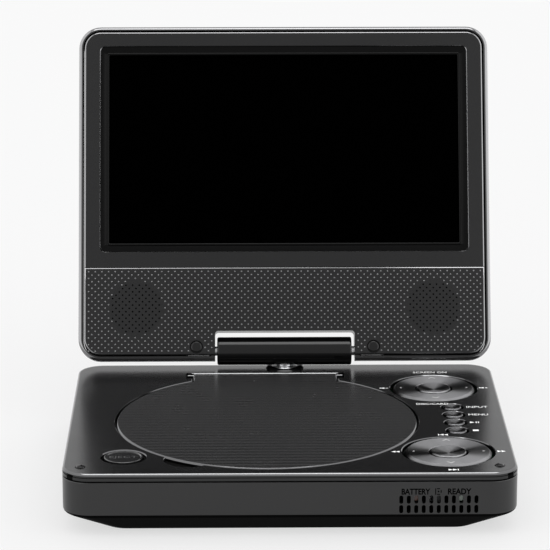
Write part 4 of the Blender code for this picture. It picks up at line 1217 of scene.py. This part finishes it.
def lid_bezel(sizes):
    inset, edge = RIM_W + GROOVE_W, 0.9
    sections = []
    for sunk, out in quarter_round(edge, 6):
        sections.append((lid_outline(inset + edge - out), FACE + sunk))
    sections.append((lid_outline(inset), FACE + 2.0))
    bezel = mesh_object("lid_face", loft(sections, "Y"))
    cut(bezel, loft((
        (window_outline(0.6, 3.1), FACE - 0.35), (window_outline(0.0, 2.5), FACE + 0.3),
        (window_outline(0.0, 2.5), FACE + 3)), "Y"))
    cut(bezel, loft([(notch_outline(0.0), depth) for depth in (FACE - 1, FACE + 3)], "Y"))
    # the step between the display's frame and the speakers' panel
    lip = ((FACE - 0.05, PANEL_SEAM - 0.55), (FACE - 0.05, PANEL_SEAM + 0.3),
           (FACE + 0.45, PANEL_SEAM + 0.25), (FACE + 0.45, PANEL_SEAM),
           (FACE + 0.25, PANEL_SEAM))
    cut(bezel, loft(((lip, -110.0), (lip, 110.0)), "X"))
    for sign in (-1, 1):
        cut(bezel, turned((sign * PLUG.x, PLUG.y), ((3.3, FACE - 0.2), (2.75, FACE + 0.3),
                                                    (2.75, FACE + 1.1)), "Y", steps=48))
        cut(bezel, speaker_tool(sizes, sign))

    def is_plug_recess(centre):
        return (Vector((abs(centre.x), centre.z)) - PLUG).length < 3.6

    # walls that don't face forward take the painted gap shade, and the bevels the painted
    # edge highlight
    lid_piece(bezel, "bezel", ["lid_bezel"], (
        ("gap", lambda centre, normal: normal.y > -0.1 or is_plug_recess(centre) and
         normal.y > -0.97),
        ("edge", lambda centre, normal: normal.y > -0.95)))


def speaker_tool(sizes, sign):
    """Holes inside a speaker's circle, on the same grid as the dots."""
    up = sizes.dot_pitch / 2
    tool = run_tree("speaker_holes", round_field_tree("Speaker Holes", True), **{
        "Columns": 2 * math.ceil(SPEAKER_R / sizes.dot_pitch) + 1,
        "Rows": 2 * math.ceil(SPEAKER_R / up) + 1, "Pitch Across": sizes.dot_pitch,
        "Pitch Up": up, "Stagger": up, "Radius": sizes.hole_radius, "Height": 6.0,
        "Field Radius": SPEAKER_R})
    place = Matrix.Translation((sign * SPEAKER.x, FACE + 1.0, SPEAKER.y))
    tool.data.transform(place @ UPRIGHT)
    return tool


def bezel_dots(sizes):
    """Raised dots over the lower part of the lid's face."""
    up = sizes.dot_pitch / 2
    low, high = LID_LOW.z + RIM_W + GROOVE_W + 1.2, PANEL_SEAM - 1.2
    rows = int((high - low) / up) + 1
    columns = int(2 * BEZEL_HIGH.x / sizes.dot_pitch)
    tree = round_field_tree("Raised Dots", False)
    centre = (low + high) / 2
    shift_dots_to_lid(tree, centre)
    dots = run_tree("bezel_dots", tree, **{
        "Columns": columns, "Rows": rows, "Pitch Across": sizes.dot_pitch, "Pitch Up": up,
        "Stagger": up, "Radius": sizes.dot_radius, "Height": 0.34,
        "Field Radius": SPEAKER_R + 0.4, "Material": FINISHES["dots"]})
    dots.data.transform(Matrix.Translation((0, FACE, 0)) @ UPRIGHT)
    # the dots' lighter colour is a painted glint
    lid_piece(dots, "dots")


def shift_dots_to_lid(tree, centre):
    """Move a tree's grid up the lid before its points are sorted."""
    spread = next(n for n in tree.nodes if n.bl_idname == "GeometryNodeInstanceOnPoints")
    source = spread.inputs["Points"].links[0].from_socket
    moved = tree.nodes.new("GeometryNodeTransform")
    moved.inputs["Translation"].default_value = (0.0, centre, 0.0)
    tree.links.new(source, moved.inputs["Geometry"])
    tree.links.new(moved.outputs[0], spread.inputs["Points"])


def screw_plugs():
    for sign, side in ((-1, "left"), (1, "right")):
        profile = ((2.45, FACE + 1), (2.45, FACE + 0.1), (2.3, FACE - 0.05),
                   (1.9, FACE - 0.12), (0.4, FACE - 0.15))
        plug = mesh_object(f"plug_{side}", turned((sign * PLUG.x, PLUG.y), profile, "Y",
                                                  steps=48))
        lid_piece(plug, "gloss", [f"screw_plug_{side}"])


def display():
    """The dark panel, and the thin raised lip that frames it."""
    low, high = PANEL_LOW, PANEL_HIGH
    outline = rounded_rect(low.x, high.x, low.z, high.z, 1.0, 4)
    inner = rounded_rect(low.x + 0.3, high.x - 0.3, low.z + 0.3, high.z - 0.3, 0.8, 4)
    panel = mesh_object("display_panel", loft((
        (inner, low.y), (outline, low.y + 0.3), (outline, high.y)), "Y"))
    lid_piece(panel, "display", ["lcd_panel"])
    surround = [(window_outline(-0.12, 2.4), low.y - 0.05)]
    for grow, depth in ((-0.12, FACE + 0.55), (-0.5, FACE + 0.4), (-2.9, low.y - 1.1),
                        (-3.1, low.y - 1.35), (-3.5, low.y - 1.45), (-3.9, low.y - 1.35),
                        (-4.1, low.y - 1.1), (-4.1, low.y - 0.05)):
        surround.append((window_outline(grow, max(0.6, 2.4 + grow * 0.5)), depth))
    frame_piece = mesh_object("display_surround", loft(surround, "Y", closed=True))
    # the frame takes the near-black painted shade
    lid_piece(frame_piece, "surround")


# ---- CAD nodes that keep their shape -------------------------------------------------
def paint_kept_nodes():
    for name, obj in frame["nodes"].items():
        if obj.hide_render:
            continue
        finish = FINISHES[SLOT_FINISH[SLOTS[name]]]
        obj.data.materials.clear()
        obj.data.materials.append(finish)


# ---- stage ---------------------------------------------------------------------------
CAMERA_PLACE = (-21.7, FRONT - 1184.0, DECK + 409.0)
CAMERA_PITCH, CAMERA_YAW, CAMERA_LENS = 15.2, 0.73, 192.96
FLOOR_HALF = 6000                      # half the width of the floor, mm


def add_camera():
    data = bpy.data.cameras.new("camera")
    data.lens = CAMERA_LENS
    data.sensor_width = 36.0
    data.clip_end = 50.0
    camera = bpy.data.objects.new("camera", data)
    bpy.context.scene.collection.objects.link(camera)
    camera.location = Vector(CAMERA_PLACE) * MM
    camera.rotation_euler = (math.radians(90 - CAMERA_PITCH), 0,
                             math.radians(-CAMERA_YAW))
    bpy.context.scene.camera = camera


def add_softbox(name, place, target, size, radiance, unlit):
    """Area light that the camera doesn't see and that leaves the floor alone."""
    data = bpy.data.lights.new(name, "AREA")
    data.shape = "RECTANGLE"
    data.size, data.size_y = size
    data.energy = radiance * math.pi * size[0] * size[1]
    lamp = bpy.data.objects.new(name, data)
    bpy.context.scene.collection.objects.link(lamp)
    lamp.location = place
    toward = Vector(target) - Vector(place)
    lamp.rotation_euler = toward.to_track_quat("-Z", "Y").to_euler()
    lamp.visible_camera = False
    lamp.light_linking.receiver_collection = unlit


def left_alone(name, objects):
    """Collection of the objects that a light doesn't reach."""
    collection = bpy.data.collections.new(name)
    for index, obj in enumerate(objects):
        collection.objects.link(obj)
        collection.collection_objects[index].light_linking.link_state = "EXCLUDE"
    return collection


def add_stage():
    scene = bpy.context.scene
    scene.view_settings.view_transform = "Standard"
    world = bpy.data.worlds.new("studio")
    scene.world = world
    world.use_nodes = True
    background = world.node_tree.nodes["Background"]
    background.inputs["Color"].default_value = (0.94, 0.94, 0.945, 1)
    background.inputs["Strength"].default_value = 1.0
    bm = bmesh.new()
    bmesh.ops.create_grid(bm, x_segments=1, y_segments=1, size=FLOOR_HALF)
    floor = mesh_object("floor", bm)
    floor.data.transform(TO_METRES)
    material, _, _ = new_finish("floor_paper", (0.35, 0.35, 0.35), 0.9,
                                Specular_IOR_Level=0.0, Emission_Strength=0.62,
                                Emission_Color=(1.0, 1.0, 1.0, 1.0))
    floor.data.materials.append(material)
    unlit = left_alone("unlit_by_top", [floor])
    deck = [bpy.data.objects[name] for name in ("deck_cover", "door_panel")]
    unlit_at_sides = left_alone("unlit_by_sides", [floor, *deck])
    add_softbox("softbox_top", (0.0, 0.0, 1.1), (0, 0.03, 0.05), (0.8, 0.6), 4.5, unlit)
    for side, x, radiance in (("left", -0.25, 1.4), ("right", 0.25, 1.7)):
        add_softbox(f"softbox_{side}", (x, -0.05, 0.24), (0, -0.04, 0.22), (0.7, 0.46),
                    radiance, unlit_at_sides)


# ---- operators and panel -------------------------------------------------------------
class BuildOperator(bpy.types.Operator):
    """Base of the operators that build one group of pieces."""
    bl_options = {"REGISTER", "UNDO"}

    def execute(self, context):
        self.build(context.scene.player_sizes, context.scene.player_colours)
        return {"FINISHED"}


class PLAYER_OT_finishes(BuildOperator):
    """Make the materials"""
    bl_idname = "player.finishes"
    bl_label = "Finishes"

    def build(self, sizes, colours):
        make_finishes(colours)


class PLAYER_OT_lower_case(BuildOperator):
    """Lower case with its vents, port openings and foot pockets"""
    bl_idname = "player.lower_case"
    bl_label = "Lower Case"

    def build(self, sizes, colours):
        lower_case(sizes)


class PLAYER_OT_deck(BuildOperator):
    """Deck cover, hinge pedestal and lid rests"""
    bl_idname = "player.deck"
    bl_label = "Deck"

    def build(self, sizes, colours):
        deck_cover(sizes)
        base_fittings()


class PLAYER_OT_disc_door(BuildOperator):
    """Disc door with its hinge pins and catch"""
    bl_idname = "player.disc_door"
    bl_label = "Disc Door"

    def build(self, sizes, colours):
        disc_door(sizes)


class PLAYER_OT_keys(BuildOperator):
    """Rocking rings, select keys, small keys and the door release"""
    bl_idname = "player.keys"
    bl_label = "Keys"

    def build(self, sizes, colours):
        navigation_keys(sizes)
        open_key()


class PLAYER_OT_legends(BuildOperator):
    """Generic printed words and symbols"""
    bl_idname = "player.legends"
    bl_label = "Legends"

    def build(self, sizes, colours):
        deck_legends()
        front_legends()


class PLAYER_OT_hinge(BuildOperator):
    """Barrel and neck of the swivelling hinge"""
    bl_idname = "player.hinge"
    bl_label = "Hinge"

    def build(self, sizes, colours):
        hinge_head()


class PLAYER_OT_lid(BuildOperator):
    """Lid shell, face, dots, plugs and display"""
    bl_idname = "player.lid"
    bl_label = "Lid"

    def build(self, sizes, colours):
        lid_shell()
        lid_bezel(sizes)
        bezel_dots(sizes)
        screw_plugs()
        display()


class PLAYER_OT_kept_nodes(BuildOperator):
    """Finishes for the inner works, ports, feet and screws"""
    bl_idname = "player.kept_nodes"
    bl_label = "Inner Works"

    def build(self, sizes, colours):
        paint_kept_nodes()


class PLAYER_OT_stage(BuildOperator):
    """Pale floor, soft lights and camera"""
    bl_idname = "player.stage"
    bl_label = "Stage"

    def build(self, sizes, colours):
        add_camera()
        add_stage()


OPERATORS = (PLAYER_OT_finishes, PLAYER_OT_lower_case, PLAYER_OT_deck, PLAYER_OT_disc_door,
             PLAYER_OT_keys, PLAYER_OT_legends, PLAYER_OT_hinge, PLAYER_OT_lid,
             PLAYER_OT_kept_nodes, PLAYER_OT_stage)


class PLAYER_PT_panel(bpy.types.Panel):
    """Settings and build steps of the disc player"""
    bl_label = "Disc Player"
    bl_space_type = "VIEW_3D"
    bl_region_type = "UI"
    bl_category = "Disc Player"

    def draw(self, context):
        for group in (context.scene.player_sizes, context.scene.player_colours):
            for label in group.__annotations__:
                self.layout.prop(group, label)
        for operator in OPERATORS:
            self.layout.operator(operator.bl_idname)


CLASSES = (PlayerSizes, PlayerColours, *OPERATORS, PLAYER_PT_panel)


def register():
    for cls in CLASSES:
        bpy.utils.register_class(cls)
    bpy.types.Scene.player_sizes = PointerProperty(type=PlayerSizes)
    bpy.types.Scene.player_colours = PointerProperty(type=PlayerColours)


def unregister():
    del bpy.types.Scene.player_colours
    del bpy.types.Scene.player_sizes
    for cls in reversed(CLASSES):
        bpy.utils.unregister_class(cls)


def main():
    register()
    for operator in OPERATORS:
        category, name = operator.bl_idname.split(".")
        getattr(getattr(bpy.ops, category), name)()


if __name__ == "__main__":
    main()
